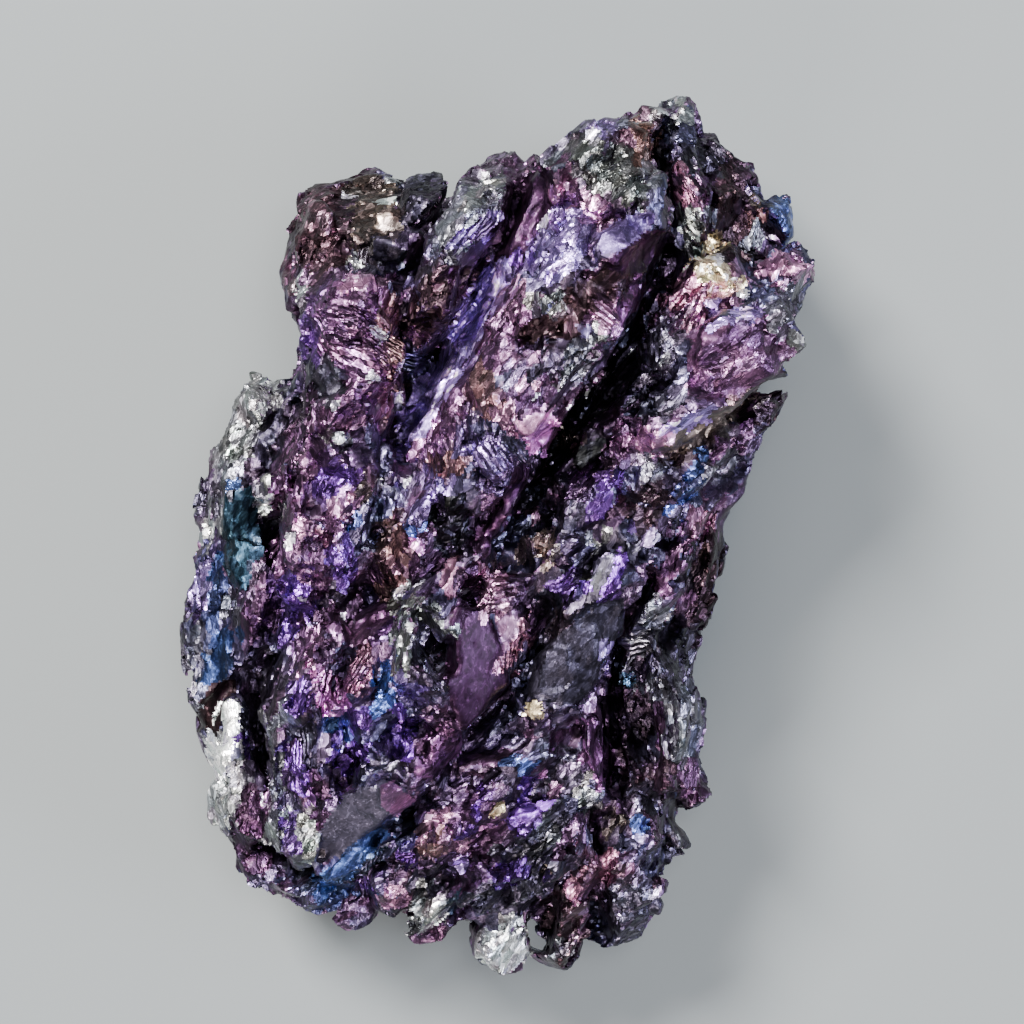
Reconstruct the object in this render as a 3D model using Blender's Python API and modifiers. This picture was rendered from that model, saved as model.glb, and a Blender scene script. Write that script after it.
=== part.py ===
"""Chalcocite specimen: one hand-sized lump of crystal ribs grown together, lying on its broken back.

The ribs fan out from the lower left to the upper right of the face, with deep clefts
between them. Distances in the tables are millimetres: x to the right, y up the face,
z up from the surface that the specimen lies on.
"""

import math
import random

import bmesh
import bpy
from mathutils import Matrix, Vector
from mathutils.kdtree import KDTree

MM = 0.001

# Driving dimensions
LENGTH = 44.0 * MM
WIDTH = 31.8 * MM
THICKNESS = 20.0 * MM
TRIANGLES = 9400
VOXEL = 0.28 * MM

# The lump under the ribs: the specimen's outline at several heights, each as (share of its size, z)
OUTLINE = [
    (-12.6, -16.0), (-15.0, -11.0), (-15.8, -5.5), (-14.6, 1.0), (-12.2, 6.6),
    (-10.0, 9.5), (-10.0, 14.5), (-8.4, 17.3), (-2.5, 17.8), (3.0, 18.8),
    (6.5, 20.3), (9.3, 20.6), (11.6, 18.0), (13.4, 15.6), (14.0, 12.6),
    (14.3, 10.0), (13.2, 6.8), (11.4, 2.2), (10.6, -3.0), (9.8, -9.0),
    (9.4, -14.0), (7.6, -18.4), (5.0, -19.4), (2.0, -20.4), (-3.4, -19.8),
    (-8.0, -17.6),
]
LEVELS = [(0.72, 0.8), (0.92, 3.4), (0.94, 6.6), (0.86, 9.0), (0.76, 11.0), (0.56, 12.6)]

# A rib's cross-section above its roots, in half widths: across, and down from the crest
ROOF = [(-1.0, -0.95), (-0.5, -0.16), (0.2, 0.0), (0.82, -0.3), (1.02, -1.0)]
SLAB = [(-1.0, -0.62), (-0.78, -0.06), (0.7, 0.0), (1.0, -0.42), (1.0, -0.9)]
ROUND = [(-1.0, -1.0), (-0.72, -0.34), (0.0, 0.0), (0.72, -0.34), (1.0, -1.0)]

# A rib's root: its width, how far it leans in under the specimen, and its z on the face and the back
ROOT_SPREAD = 0.8
ROOT_LEAN = 0.86
FACE_ROOT = 2.6
BACK_ROOT = 8.0

# A rib's end: how far it goes on past its last point, how much it narrows and how much it drops
END_REACH = 0.6
END_SHRINK = 0.62
END_DROP = 0.9

# Ribs of the face: section, roll in degrees about the rib, then (x, y, crest z, half width)
FACE_RIBS = {
    "central_ridge": (ROOF, -6, [
        (-3.9, -1.6, 15.2, 1.3), (-2.1, 1.8, 17.0, 2.1), (0.5, 6.6, 19.3, 2.9),
        (3.7, 11.6, 19.7, 3.0), (5.4, 15.5, 18.4, 2.5), (6.2, 18.0, 15.2, 1.8)]),
    "ridge_cap": (SLAB, 10, [(3.4, 17.2, 17.4, 1.4), (5.4, 18.1, 17.8, 1.8), (7.3, 18.4, 16.0, 1.4)]),
    "violet_slab": (SLAB, -14, [(4.2, 13.4, 19.2, 0.9), (6.2, 15.0, 19.8, 1.3), (7.9, 16.4, 18.4, 1.1)]),
    "ridge_boss": (ROUND, 0, [(-0.4, 4.8, 18.6, 1.2), (1.4, 6.6, 20.2, 2.0), (3.0, 8.8, 19.8, 1.6)]),
    "ridge_flank": (SLAB, -22, [(-3.3, 2.8, 15.4, 0.8), (-1.5, 6.6, 17.4, 1.1), (0.9, 10.8, 18.0, 1.1)]),
    "striated_block": (ROUND, -8, [
        (-7.3, 3.6, 14.8, 2.0), (-7.3, 6.8, 16.2, 2.4), (-7.35, 10.0, 16.4, 2.4), (-7.3, 12.6, 15.2, 2.3)]),
    "dark_head": (ROUND, -6, [(-7.2, 13.4, 13.6, 2.9), (-6.6, 15.0, 13.8, 3.1), (-5.6, 16.2, 11.4, 2.8)]),
    "head_shoulder": (ROUND, 10, [
        (-4.9, 13.4, 13.2, 1.0), (-4.2, 15.4, 13.4, 1.2), (-3.2, 16.9, 11.4, 1.1)]),
    "corner_shoulder": (ROUND, -24, [
        (-9.7, 11.6, 11.4, 1.0), (-9.3, 14.4, 11.6, 1.5), (-8.1, 16.7, 9.6, 1.3)]),
    "second_lobe": (ROUND, 4, [
        (-3.6, 10.3, 14.0, 1.2), (-2.6, 12.3, 15.6, 1.5), (-1.3, 14.8, 16.2, 1.5),
        (0.1, 16.9, 14.6, 1.4), (0.9, 18.0, 12.6, 1.1)]),
    "plum_strip": (SLAB, 10, [(0.6, 12.0, 15.2, 0.7), (1.7, 14.9, 16.2, 0.9), (2.7, 17.8, 13.8, 1.1)]),
    "purple_block": (SLAB, -6, [
        (-8.9, -3.0, 14.4, 1.6), (-8.4, 0.4, 16.0, 2.2), (-7.7, 3.6, 16.0, 2.3)]),
    "block_flank": (ROUND, 10, [(-5.0, -2.4, 14.2, 1.1), (-4.7, 0.6, 15.0, 1.2), (-4.9, 3.6, 14.6, 0.9)]),
    "dark_flank": (ROUND, -8, [(-10.3, 2.2, 13.4, 0.7), (-10.2, 5.2, 13.6, 0.8), (-9.9, 7.8, 12.4, 0.6)]),
    "left_rib": (ROUND, -32, [
        (-13.0, -15.2, 8.6, 1.0), (-14.2, -10.7, 9.8, 1.4), (-15.0, -5.2, 10.8, 1.6),
        (-14.4, -0.2, 11.6, 1.6), (-13.1, 4.1, 12.0, 1.3), (-12.1, 6.9, 11.4, 0.9)]),
    "teal_flank": (SLAB, -22, [
        (-12.6, -6.2, 12.2, 1.1), (-12.5, -2.4, 13.0, 1.2),
        (-12.1, 1.6, 13.0, 1.0), (-11.7, 4.9, 12.0, 0.7)]),
    "silver_foot_rib": (SLAB, -16, [
        (-12.7, -14.6, 10.2, 1.0), (-13.0, -11.6, 11.4, 1.1), (-12.6, -8.4, 11.6, 0.9)]),
    "pink_ridge": (ROOF, -4, [
        (7.7, 7.6, 14.6, 0.9), (9.1, 10.2, 16.4, 1.3), (10.5, 12.2, 16.2, 1.4), (12.0, 13.5, 14.2, 1.1)]),
    "right_blade": (SLAB, 18, [
        (6.9, 3.9, 14.6, 1.0), (8.6, 5.5, 16.6, 1.5), (10.6, 7.4, 17.4, 1.9), (12.6, 9.2, 17.0, 1.8),
        (14.3, 10.1, 15.6, 1.2), (15.5, 9.5, 14.4, 0.4)]),
    "blade_shoulder": (ROOF, 4, [
        (11.6, 10.8, 15.6, 1.2), (13.4, 11.7, 15.2, 1.2), (15.1, 12.9, 13.2, 1.0)]),
    "pink_column": (SLAB, 0, [
        (9.9, 13.8, 12.2, 0.6), (9.6, 17.2, 13.4, 0.7), (9.3, 20.0, 11.8, 0.7), (9.2, 21.5, 9.6, 0.6)]),
    "brown_column": (ROOF, 6, [(11.2, 14.4, 11.6, 0.8), (11.0, 17.0, 12.2, 0.9), (10.7, 19.5, 9.8, 1.1)]),
    "outer_column": (ROOF, 12, [
        (12.5, 14.4, 11.2, 0.7), (12.2, 16.6, 11.2, 0.9), (11.7, 18.9, 8.8, 1.0)]),
    "edge_column": (ROUND, 22, [(13.7, 14.2, 10.4, 0.9), (13.2, 16.4, 9.6, 1.0), (12.6, 18.0, 8.0, 0.9)]),
    "summit_rim": (ROUND, 0, [(4.7, 19.2, 11.0, 1.0), (6.3, 20.1, 11.6, 1.0), (8.0, 20.9, 11.0, 0.9)]),
    "spear": (ROOF, 0, [(-1.2, -0.8, 15.4, 0.4), (0.3, 1.2, 15.6, 0.7), (1.7, 3.1, 14.2, 0.6)]),
    "cleft_rib": (ROOF, 0, [
        (3.8, 2.4, 14.6, 0.7), (5.8, 5.5, 14.4, 1.0), (7.5, 8.2, 13.8, 0.9), (9.0, 11.4, 12.8, 0.8)]),
    "smooth_rib": (ROOF, -8, [
        (1.6, -9.6, 13.8, 1.2), (3.8, -5.4, 15.6, 1.9), (6.0, -1.4, 16.0, 1.6),
        (7.9, 1.8, 15.2, 1.1), (9.4, 4.2, 13.0, 0.8)]),
    "middle_rib": (ROUND, -6, [
        (2.4, -2.6, 14.8, 0.9), (4.2, 0.4, 15.6, 1.3), (5.9, 2.9, 15.4, 1.1), (7.2, 4.6, 14.0, 0.8)]),
    "blue_strip": (ROOF, 10, [(8.9, 1.4, 13.6, 0.6), (10.2, 3.9, 14.0, 0.7), (11.6, 5.6, 12.8, 0.5)]),
    "foot_rib": (ROUND, 0, [(-2.6, -2.6, 15.0, 1.0), (-0.9, -0.8, 15.4, 1.0)]),
    "square_crystal": (SLAB, 0, [
        (-3.6, -8.4, 15.8, 1.4), (-3.1, -5.4, 16.9, 1.9), (-2.7, -3.0, 15.8, 1.4)]),
    "plum_face": (SLAB, 14, [(-1.7, -9.8, 14.8, 0.8), (-1.0, -6.8, 16.8, 1.6), (-0.2, -4.3, 16.0, 1.1)]),
    "lower_plum": (SLAB, 12, [(-3.4, -12.3, 14.2, 0.8), (-2.6, -10.0, 15.4, 1.2)]),
    "rose_rib": (ROUND, 8, [(0.3, -7.0, 15.0, 0.6), (0.9, -4.6, 15.6, 0.7), (0.6, -2.2, 15.2, 0.9)]),
    "rim_crystal": (ROOF, -12, [
        (-10.2, -16.0, 11.2, 0.8), (-10.5, -12.2, 13.4, 1.0),
        (-10.3, -8.4, 14.2, 1.1), (-9.6, -5.2, 14.0, 0.9)]),
    "rose_crystal": (ROOF, 6, [
        (-8.3, -15.4, 12.0, 0.9), (-8.6, -11.2, 14.4, 1.1),
        (-8.4, -7.6, 15.4, 1.1), (-7.8, -4.6, 14.8, 0.9)]),
    "blue_crystal": (ROUND, 0, [
        (-6.0, -10.8, 14.0, 1.0), (-5.9, -7.8, 15.6, 1.2), (-5.3, -4.3, 15.0, 1.0)]),
    "lower_facet": (SLAB, 16, [
        (-7.8, -16.6, 11.8, 1.1), (-6.0, -13.6, 14.6, 1.8), (-4.2, -11.4, 15.0, 1.2)]),
    "lower_band": (ROUND, -8, [
        (-6.6, -18.0, 10.2, 1.3), (-3.6, -15.2, 12.8, 1.6),
        (-0.4, -12.4, 14.0, 1.6), (2.4, -10.2, 13.6, 1.1)]),
    "bottom_band": (ROOF, -8, [
        (-3.8, -19.2, 9.4, 1.2), (-0.8, -16.8, 11.8, 1.3),
        (2.2, -13.9, 13.2, 1.4), (4.2, -11.4, 13.4, 1.0)]),
    "last_band": (ROOF, -4, [(-0.6, -20.0, 9.2, 0.9), (1.6, -17.4, 11.2, 0.9), (3.9, -14.6, 12.6, 0.9)]),
    "left_hem": (ROUND, -20, [
        (-12.4, -16.0, 7.8, 1.1), (-9.7, -17.2, 9.0, 1.1), (-6.9, -19.0, 8.4, 1.1)]),
    "left_lobe": (ROUND, 0, [(3.3, -20.4, 8.6, 0.9), (3.9, -17.9, 10.6, 0.9), (4.9, -15.8, 11.8, 0.8)]),
    "right_lobe": (ROUND, 8, [(6.4, -19.0, 8.6, 1.5), (6.9, -16.8, 10.8, 1.8), (6.9, -14.2, 11.4, 1.4)]),
    "corner_lobe": (ROUND, 20, [(8.9, -15.4, 7.8, 1.1), (9.1, -13.2, 9.6, 1.2), (8.7, -11.2, 10.6, 1.0)]),
    "shadow_rib": (ROOF, 8, [(4.8, -12.6, 13.4, 0.6), (5.1, -10.6, 14.2, 0.7), (4.9, -8.6, 13.4, 0.6)]),
    "right_column": (ROOF, 4, [
        (7.9, -4.6, 14.0, 1.0), (9.0, -1.4, 14.4, 1.1), (10.1, 1.0, 13.4, 0.9), (11.0, 3.0, 12.0, 0.7)]),
    "silver_column": (ROUND, 8, [
        (8.5, -12.4, 11.4, 0.8), (9.0, -9.2, 12.8, 0.9), (9.0, -5.8, 13.0, 0.8)]),
    "right_edge": (ROUND, 24, [
        (10.1, -12.6, 8.2, 1.0), (10.3, -8.6, 9.4, 1.1), (10.4, -4.6, 10.8, 1.0),
        (11.0, -0.4, 11.2, 1.0), (12.2, 4.2, 11.4, 0.8), (13.9, 7.0, 10.8, 0.6)]),
}

# Ribs of the back, in the same way; their crests are cut flat at z = 0, where the specimen lies
BACK_RIBS = {
    "back_keel": (SLAB, 4, [
        (-4.6, -17.0, 2.6, 1.6), (-1.2, -9.0, -0.5, 2.4), (2.4, 0.0, -0.8, 2.8), (5.4, 9.0, -0.2, 2.4),
        (7.4, 15.5, 2.6, 1.7)]),
    "back_left": (ROUND, -8, [
        (-11.4, -12.0, 2.6, 1.6), (-10.2, -4.0, -0.5, 2.2), (-8.4, 4.0, -0.7, 2.4), (-6.8, 11.0, 0.8, 2.0),
        (-6.4, 14.6, 3.4, 1.4)]),
    "back_middle": (ROOF, 4, [
        (-7.8, -14.6, 1.8, 1.6), (-5.8, -6.0, 0.4, 2.0), (-3.2, 3.0, 0.7, 2.1), (-0.4, 11.0, 1.2, 2.1),
        (1.2, 15.6, 3.4, 1.5)]),
    "back_right": (ROUND, 10, [
        (3.2, -17.4, 3.0, 1.6), (5.6, -10.0, -0.5, 2.0), (7.2, -2.0, -0.5, 2.0), (9.2, 5.6, 1.2, 1.8),
        (11.4, 12.0, 3.6, 1.5)]),
}

# Knobs: x, y, z of the centre, then radii along x, y, z
KNOBS = {
    "blue_knob": (14.5, 15.6, 10.2, 0.95, 1.35, 1.5),
    "pink_knob": (14.7, 13.1, 12.9, 1.25, 1.0, 1.4),
    "dark_knob": (-14.1, 1.9, 8.0, 0.8, 1.3, 1.6),
    "hem_knob": (-10.6, -17.7, 6.6, 0.8, 0.7, 1.4),
    "brown_knob": (2.0, -0.7, 15.8, 0.8, 0.8, 0.9),
    "pale_crystal": (1.9, -8.7, 15.0, 0.5, 0.65, 0.6),
    "teal_crystal": (6.6, -7.4, 11.4, 0.6, 0.7, 0.9),
    "silver_bump": (2.7, 11.7, 19.3, 0.9, 0.8, 0.8),
    "grey_bump": (4.7, 10.0, 18.9, 1.0, 0.9, 0.8),
    "foot_knob": (0.4, -20.3, 7.6, 1.3, 1.4, 2.2),
    "lobe_knob": (3.3, -20.6, 6.8, 1.1, 1.3, 2.2),
    "lobe_ball": (6.2, -19.0, 6.8, 1.6, 1.5, 2.4),
    "summit_knob": (9.2, 21.0, 8.8, 0.8, 0.9, 1.8),
    "rib_head": (-12.0, 6.9, 9.8, 1.1, 1.2, 2.0),
    "side_knob": (11.2, -0.8, 8.8, 1.0, 1.3, 1.8),
}

# Clefts cut between the ribs: (x, y, floor z, half width)
CLEFTS = {
    "great_cleft": [
        (0.2, 0.0, 13.2, 0.15), (2.7, 3.3, 10.8, 0.45), (4.2, 6.0, 9.8, 0.6), (5.8, 8.2, 9.6, 0.55),
        (7.1, 10.4, 9.6, 0.5), (8.1, 12.5, 9.8, 0.45), (8.75, 15.0, 10.2, 0.35), (8.85, 17.8, 10.0, 0.28),
        (8.6, 21.6, 9.0, 0.25)],
    "left_cleft": [
        (-5.0, 3.8, 13.0, 0.15), (-4.5, 6.2, 10.0, 0.4), (-3.3, 8.4, 9.4, 0.75), (-1.9, 9.7, 10.0, 0.55),
        (-0.4, 12.2, 11.0, 0.3), (0.9, 14.8, 12.2, 0.2), (1.7, 17.0, 12.6, 0.15)],
    "block_cleft": [
        (-4.8, 9.2, 11.0, 0.3), (-4.9, 11.8, 11.4, 0.2), (-3.7, 14.6, 11.4, 0.22), (-2.3, 16.8, 10.6, 0.25),
        (-1.3, 18.4, 9.4, 0.25)],
    "rib_cleft": [
        (-10.9, 8.6, 8.6, 0.3), (-11.1, 4.8, 9.6, 0.28), (-11.2, 1.8, 9.6, 0.3), (-11.3, -2.4, 10.2, 0.25)],
    "flank_pit": [(-9.4, 5.4, 13.0, 0.2), (-9.2, 7.8, 12.0, 0.25)],
    "hem_cleft": [
        (-11.6, -5.4, 10.8, 0.2), (-11.7, -8.6, 9.4, 0.35),
        (-11.4, -11.6, 8.8, 0.4), (-11.0, -14.0, 8.8, 0.25)],
    "column_cleft": [
        (9.6, 1.6, 11.8, 0.15), (7.8, -1.8, 10.6, 0.22), (6.3, -4.9, 9.6, 0.3), (5.9, -7.9, 8.6, 0.45),
        (5.9, -11.2, 8.8, 0.5), (5.3, -13.8, 9.8, 0.2)],
    "cave": [(7.2, -7.9, 9.6, 0.5), (7.4, -11.6, 9.8, 0.45)],
    "blade_cleft": [
        (5.1, 3.7, 13.2, 0.15), (6.9, 6.1, 12.4, 0.2), (8.3, 7.5, 12.8, 0.22), (10.2, 9.5, 14.2, 0.15),
        (12.4, 11.2, 14.4, 0.12)],
    "edge_cleft": [(11.2, 5.0, 10.0, 0.2), (12.4, 6.4, 8.8, 0.4), (14.0, 7.9, 8.4, 0.45)],
    "spear_cleft": [(-2.0, -0.7, 14.2, 0.12), (-0.7, 1.3, 13.4, 0.2), (0.9, 3.3, 13.4, 0.2)],
    "facet_cleft": [
        (-6.2, -15.6, 12.0, 0.12), (-4.4, -13.9, 12.0, 0.25),
        (-1.9, -11.7, 11.8, 0.3), (0.6, -8.0, 12.6, 0.2),
        (1.7, -5.4, 13.8, 0.12)],
    "upper_lamina": [
        (-2.1, -18.0, 10.6, 0.12), (0.2, -16.2, 11.8, 0.18),
        (2.0, -15.2, 12.0, 0.18), (3.4, -13.2, 12.4, 0.12)],
    "foot_cleft": [
        (2.0, -21.6, 5.8, 0.3), (2.3, -18.4, 8.2, 0.28), (3.6, -16.2, 9.4, 0.2), (5.0, -14.4, 10.6, 0.15)],
    "lobe_cleft": [(4.9, -21.0, 6.0, 0.35), (4.9, -18.6, 7.8, 0.25), (5.2, -16.4, 10.0, 0.12)],
    "slab_ledge": [(4.6, 16.0, 17.6, 0.15), (6.6, 16.8, 16.8, 0.22), (8.4, 17.6, 15.6, 0.22)],
    "slab_shadow": [(4.4, 12.3, 18.4, 0.12), (6.4, 13.4, 17.4, 0.25), (8.2, 14.8, 15.8, 0.25)],
    "hem_notch": [(-9.5, -15.0, 11.4, 0.15), (-9.5, -10.6, 12.6, 0.2), (-9.3, -6.2, 13.2, 0.12)],
    "rose_notch": [(-7.3, -14.4, 12.6, 0.12), (-7.3, -11.0, 13.2, 0.18), (-7.0, -7.4, 13.8, 0.15)],
    "scale_cleft": [(-5.8, 2.6, 14.0, 0.12), (-6.2, 0.0, 13.2, 0.18), (-7.0, -3.0, 13.2, 0.18)],
    "square_notch": [(-4.7, -9.4, 13.8, 0.12), (-4.7, -5.6, 14.0, 0.15)],
}

# The square crystal's hollow: its middle, then its half sizes
CAVITY = (-2.9, -5.3, 16.4)
CAVITY_HALF_SIZE = (0.65, 0.95, 2.2)

# Small crystals on the ribs: how many, how large, their turn from the rib's way in degrees, their
# proportions, how blunt they are, how far across the rib they stand and how deep they sit in it
CRYSTALS_PER_MM = 0.55
CRYSTAL_SIZE = (0.35, 0.85)
CRYSTAL_TURN = 24
CRYSTAL_SHAPE = (0.6, 0.8, 1.25)
CRYSTAL_BLUNTNESS = (0.35, 0.8)
CRYSTAL_SPREAD = 0.85
CRYSTAL_SINK = 0.2
RIB_FALL = 0.6
SEED = 7

# Cleft cutters: how much wider they are at the top, and where that is
CLEFT_FLARE = 1.9
CLEFT_TOP = 23.0

# Vertices this close to the surface that the specimen lies on are set onto it
REST_SNAP = 0.04 * MM

TARNISH_COLOUR = (0.10, 0.07, 0.16, 1.0)

# Flat crystal faces of the broken surface: size, slant, step between neighbours and greatest depth
FACET_WIDTH = 1.2 * MM
FACET_LENGTH = 2.6 * MM
FACET_TILT = 0.12
FACET_STEP = 0.08 * MM
FACET_DEPTH = 0.3 * MM
LEAST_SLOPE = 0.35
GROWTH_ANGLE = 62


def clear_scene():
    for obj in list(bpy.data.objects):
        bpy.data.objects.remove(obj)


def new_collection(name):
    collection = bpy.data.collections.new(name)
    bpy.context.scene.collection.children.link(collection)
    return collection


def loft(bm, rings):
    """A closed shape through rings of points, every ring with as many points as the next."""
    loops = [[bm.verts.new(Vector(point) * MM) for point in ring] for ring in rings]
    for near, far in zip(loops, loops[1:]):
        for i in range(len(near)):
            j = (i + 1) % len(near)
            bm.faces.new((near[i], near[j], far[j], far[i]))
    bm.faces.new(reversed(loops[0]))
    bm.faces.new(loops[-1])


def headings(points):
    """The direction of the path in plan at each of its points."""
    spots = [Vector(point[:2]) for point in points]
    spans = [(b - a).normalized() for a, b in zip(spots, spots[1:])]
    middles = [(a + b).normalized() for a, b in zip(spans, spans[1:])]
    return [spans[0], *middles, spans[-1]]


def with_ends(points):
    """The rib's path with a narrower, lower ring beyond each end, so that it tapers off."""
    ways = headings(points)
    ended = list(points)
    for index, way, sign in ((0, ways[0], -1.0), (-1, ways[-1], 1.0)):
        x, y, z, half_width = points[index]
        beyond = Vector((x, y)) + way * (sign * END_REACH * half_width)
        tip = (beyond.x, beyond.y, z - END_DROP * half_width, half_width * END_SHRINK)
        ended.insert(0 if index == 0 else len(ended), tip)
    return ended


def add_rib(bm, section, roll, points, face=True):
    """A rib: its section, turned by roll, at each point of its path and down to its roots."""
    points = with_ends(points)
    turn = Matrix.Rotation(math.radians(-roll), 2)
    profile = [turn @ Vector(corner) for corner in section]
    rings = []
    for (x, y, crest, half_width), way in zip(points, headings(points)):
        across = Vector((way.y, -way.x))
        root = FACE_ROOT if face else BACK_ROOT
        ring = []
        for a, b in profile:
            spot = Vector((x, y)) + across * (a * half_width)
            height = crest + b * half_width if face else crest - b * half_width
            ring.append((spot.x, spot.y, height))
        for a in (ROOT_SPREAD, -ROOT_SPREAD):
            spot = (Vector((x, y)) + across * (a * half_width)) * ROOT_LEAN
            ring.append((spot.x, spot.y, root))
        rings.append(ring)
    loft(bm, rings)


def add_core(bm):
    loft(bm, [[(x * share, y * share, z) for x, y in OUTLINE] for share, z in LEVELS])


def add_knob(bm, x, y, z, rx, ry, rz):
    radii = Matrix.Diagonal((rx * MM, ry * MM, rz * MM)).to_4x4()
    bmesh.ops.create_icosphere(
        bm, subdivisions=2, radius=1.0, matrix=Matrix.Translation(Vector((x, y, z)) * MM) @ radii)


def along(points, share):
    """The point, the half width and the direction at a share of the way along a rib."""
    spans = len(points) - 1
    index = min(int(share * spans), spans - 1)
    part = share * spans - index
    start, end = points[index], points[index + 1]
    mixed = [a + (b - a) * part for a, b in zip(start, end)]
    heading = (Vector(end[:3]) - Vector(start[:3])).normalized()
    return Vector(mixed[:3]), mixed[3], heading


def add_crystals(bm, points, rng, face=True):
    """Small blunt crystals on a rib, leaning along it."""
    length = sum((Vector(b[:3]) - Vector(a[:3])).length for a, b in zip(points, points[1:]))
    for _ in range(round(length * CRYSTALS_PER_MM)):
        spot, half_width, heading = along(points, rng.uniform(0.04, 0.96))
        across = heading.cross(Vector((0.0, 0.0, 1.0))).normalized()
        offset = rng.uniform(-CRYSTAL_SPREAD, CRYSTAL_SPREAD)
        drop = offset ** 2 * half_width * RIB_FALL + CRYSTAL_SINK
        spot += across * offset * half_width
        spot.z += -drop if face else drop
        size = rng.uniform(*CRYSTAL_SIZE)
        turn = Matrix.Rotation(math.radians(rng.uniform(-CRYSTAL_TURN, CRYSTAL_TURN)), 4, "X")
        twist = Matrix.Rotation(rng.uniform(0.0, math.tau), 4, "Z")
        aim = heading.to_track_quat("Z", "Y").to_matrix().to_4x4()
        shape = Matrix.Diagonal([size * side * MM for side in CRYSTAL_SHAPE]).to_4x4()
        bmesh.ops.create_cone(
            bm, cap_ends=True, segments=5, radius1=1.0, radius2=rng.uniform(*CRYSTAL_BLUNTNESS), depth=2.0,
            matrix=Matrix.Translation(spot * MM) @ aim @ turn @ twist @ shape)


def object_from(bm, name, collection):
    bmesh.ops.recalc_face_normals(bm, faces=bm.faces)
    mesh = bpy.data.meshes.new(name)
    bm.to_mesh(mesh)
    bm.free()
    obj = bpy.data.objects.new(name, mesh)
    collection.objects.link(obj)
    return obj


def rough_lump(rng, collection):
    """The core, every rib, knob and small crystal as overlapping closed shapes in one object."""
    bm = bmesh.new()
    add_core(bm)
    for section, roll, points in FACE_RIBS.values():
        add_rib(bm, section, roll, points)
        add_crystals(bm, points, rng)
    for section, roll, points in BACK_RIBS.values():
        add_rib(bm, section, roll, points, face=False)
        add_crystals(bm, points, rng, face=False)
    for knob in KNOBS.values():
        add_knob(bm, *knob)
    return object_from(bm, "rough_lump", collection)


def cleft_cutter(name, points, collection):
    """A wedge along a cleft: narrow at its floor, and wider above the specimen."""
    rings = []
    for (x, y, floor, half_width), way in zip(points, headings(points)):
        across = Vector((way.y, -way.x))
        wide = across * half_width
        top = across * (half_width * CLEFT_FLARE)
        spot = Vector((x, y))
        low = [(spot - wide, floor), (spot + wide, floor)]
        high = [(spot + top, CLEFT_TOP), (spot - top, CLEFT_TOP)]
        rings.append([(corner.x, corner.y, z) for corner, z in low + high])
    bm = bmesh.new()
    loft(bm, rings)
    return object_from(bm, name, collection)


def hollow_cutter(name, middle, half_size, collection):
    bm = bmesh.new()
    sides = Matrix.Diagonal([2 * side * MM for side in half_size]).to_4x4()
    bmesh.ops.create_cube(bm, size=1.0, matrix=Matrix.Translation(Vector(middle) * MM) @ sides)
    return object_from(bm, name, collection)


def evaluated_mesh(obj):
    bpy.context.view_layer.update()
    return bpy.data.meshes.new_from_object(obj.evaluated_get(bpy.context.evaluated_depsgraph_get()))


def add_remesh(obj, name):
    remesh = obj.modifiers.new(name, "REMESH")
    remesh.mode = "VOXEL"
    remesh.voxel_size = VOXEL


def grown_together(lump, clefts):
    """One skin over all the shapes, with the clefts opened in it."""
    add_remesh(lump, "grown together")
    opened = lump.modifiers.new("clefts", "BOOLEAN")
    opened.operation = "DIFFERENCE"
    opened.operand_type = "COLLECTION"
    opened.collection = clefts
    add_remesh(lump, "evened")
    return evaluated_mesh(lump)


def break_into_facets(mesh, rng):
    """Moves every vertex along its normal onto the flat face of the crystal nearest to it.

    The crystals are longer along the growth, so nearness counts less along it.
    """
    growth = Matrix.Rotation(math.radians(-GROWTH_ANGLE), 3, "Z")
    squeeze = Matrix.Diagonal((FACET_WIDTH / FACET_LENGTH, 1.0, 1.0)) @ growth
    places = [v.co.copy() for v in mesh.vertices]
    normals = [v.normal.copy() for v in mesh.vertices]
    area = sum(face.area for face in mesh.polygons)
    count = round(area / (FACET_WIDTH * FACET_LENGTH))
    chosen = rng.sample(range(len(places)), count)
    tree = KDTree(count)
    for order, index in enumerate(chosen):
        tree.insert(squeeze @ places[index], order)
    tree.balance()
    planes = []
    for index in chosen:
        tilt = Vector([rng.gauss(0.0, FACET_TILT) for _ in range(3)])
        facing = (normals[index] + tilt).normalized()
        planes.append((places[index], facing, rng.uniform(-FACET_STEP, FACET_STEP)))
    for vertex, place, normal in zip(mesh.vertices, places, normals):
        _, order, _ = tree.find(squeeze @ place)
        origin, facing, step = planes[order]
        slope = max(facing.dot(normal), LEAST_SLOPE)
        move = (origin - place).dot(facing) / slope + step
        vertex.co = place + normal * max(-FACET_DEPTH, min(FACET_DEPTH, move))


def islands(bm):
    """The connected pieces of a mesh, each as a list of its vertices."""
    unseen = set(bm.verts)
    pieces = []
    while unseen:
        waiting = [unseen.pop()]
        piece = []
        while waiting:
            vertex = waiting.pop()
            piece.append(vertex)
            near = [edge.other_vert(vertex) for edge in vertex.link_edges]
            fresh = [other for other in near if other in unseen]
            unseen.difference_update(fresh)
            waiting.extend(fresh)
        pieces.append(piece)
    return pieces


def drop_crumbs(mesh):
    """Removes what the clefts cut loose from the lump, and any bubble sealed inside it."""
    bm = bmesh.new()
    bm.from_mesh(mesh)
    pieces = sorted(islands(bm), key=len)
    crumbs = [vertex for piece in pieces[:-1] for vertex in piece]
    bmesh.ops.delete(bm, geom=crumbs, context="VERTS")
    bm.to_mesh(mesh)
    bm.free()


def press_flat(mesh, below):
    """Sets every vertex lower than this onto the plane that the specimen lies on."""
    for vertex in mesh.vertices:
        if vertex.co.z < below:
            vertex.co.z = 0.0


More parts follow.
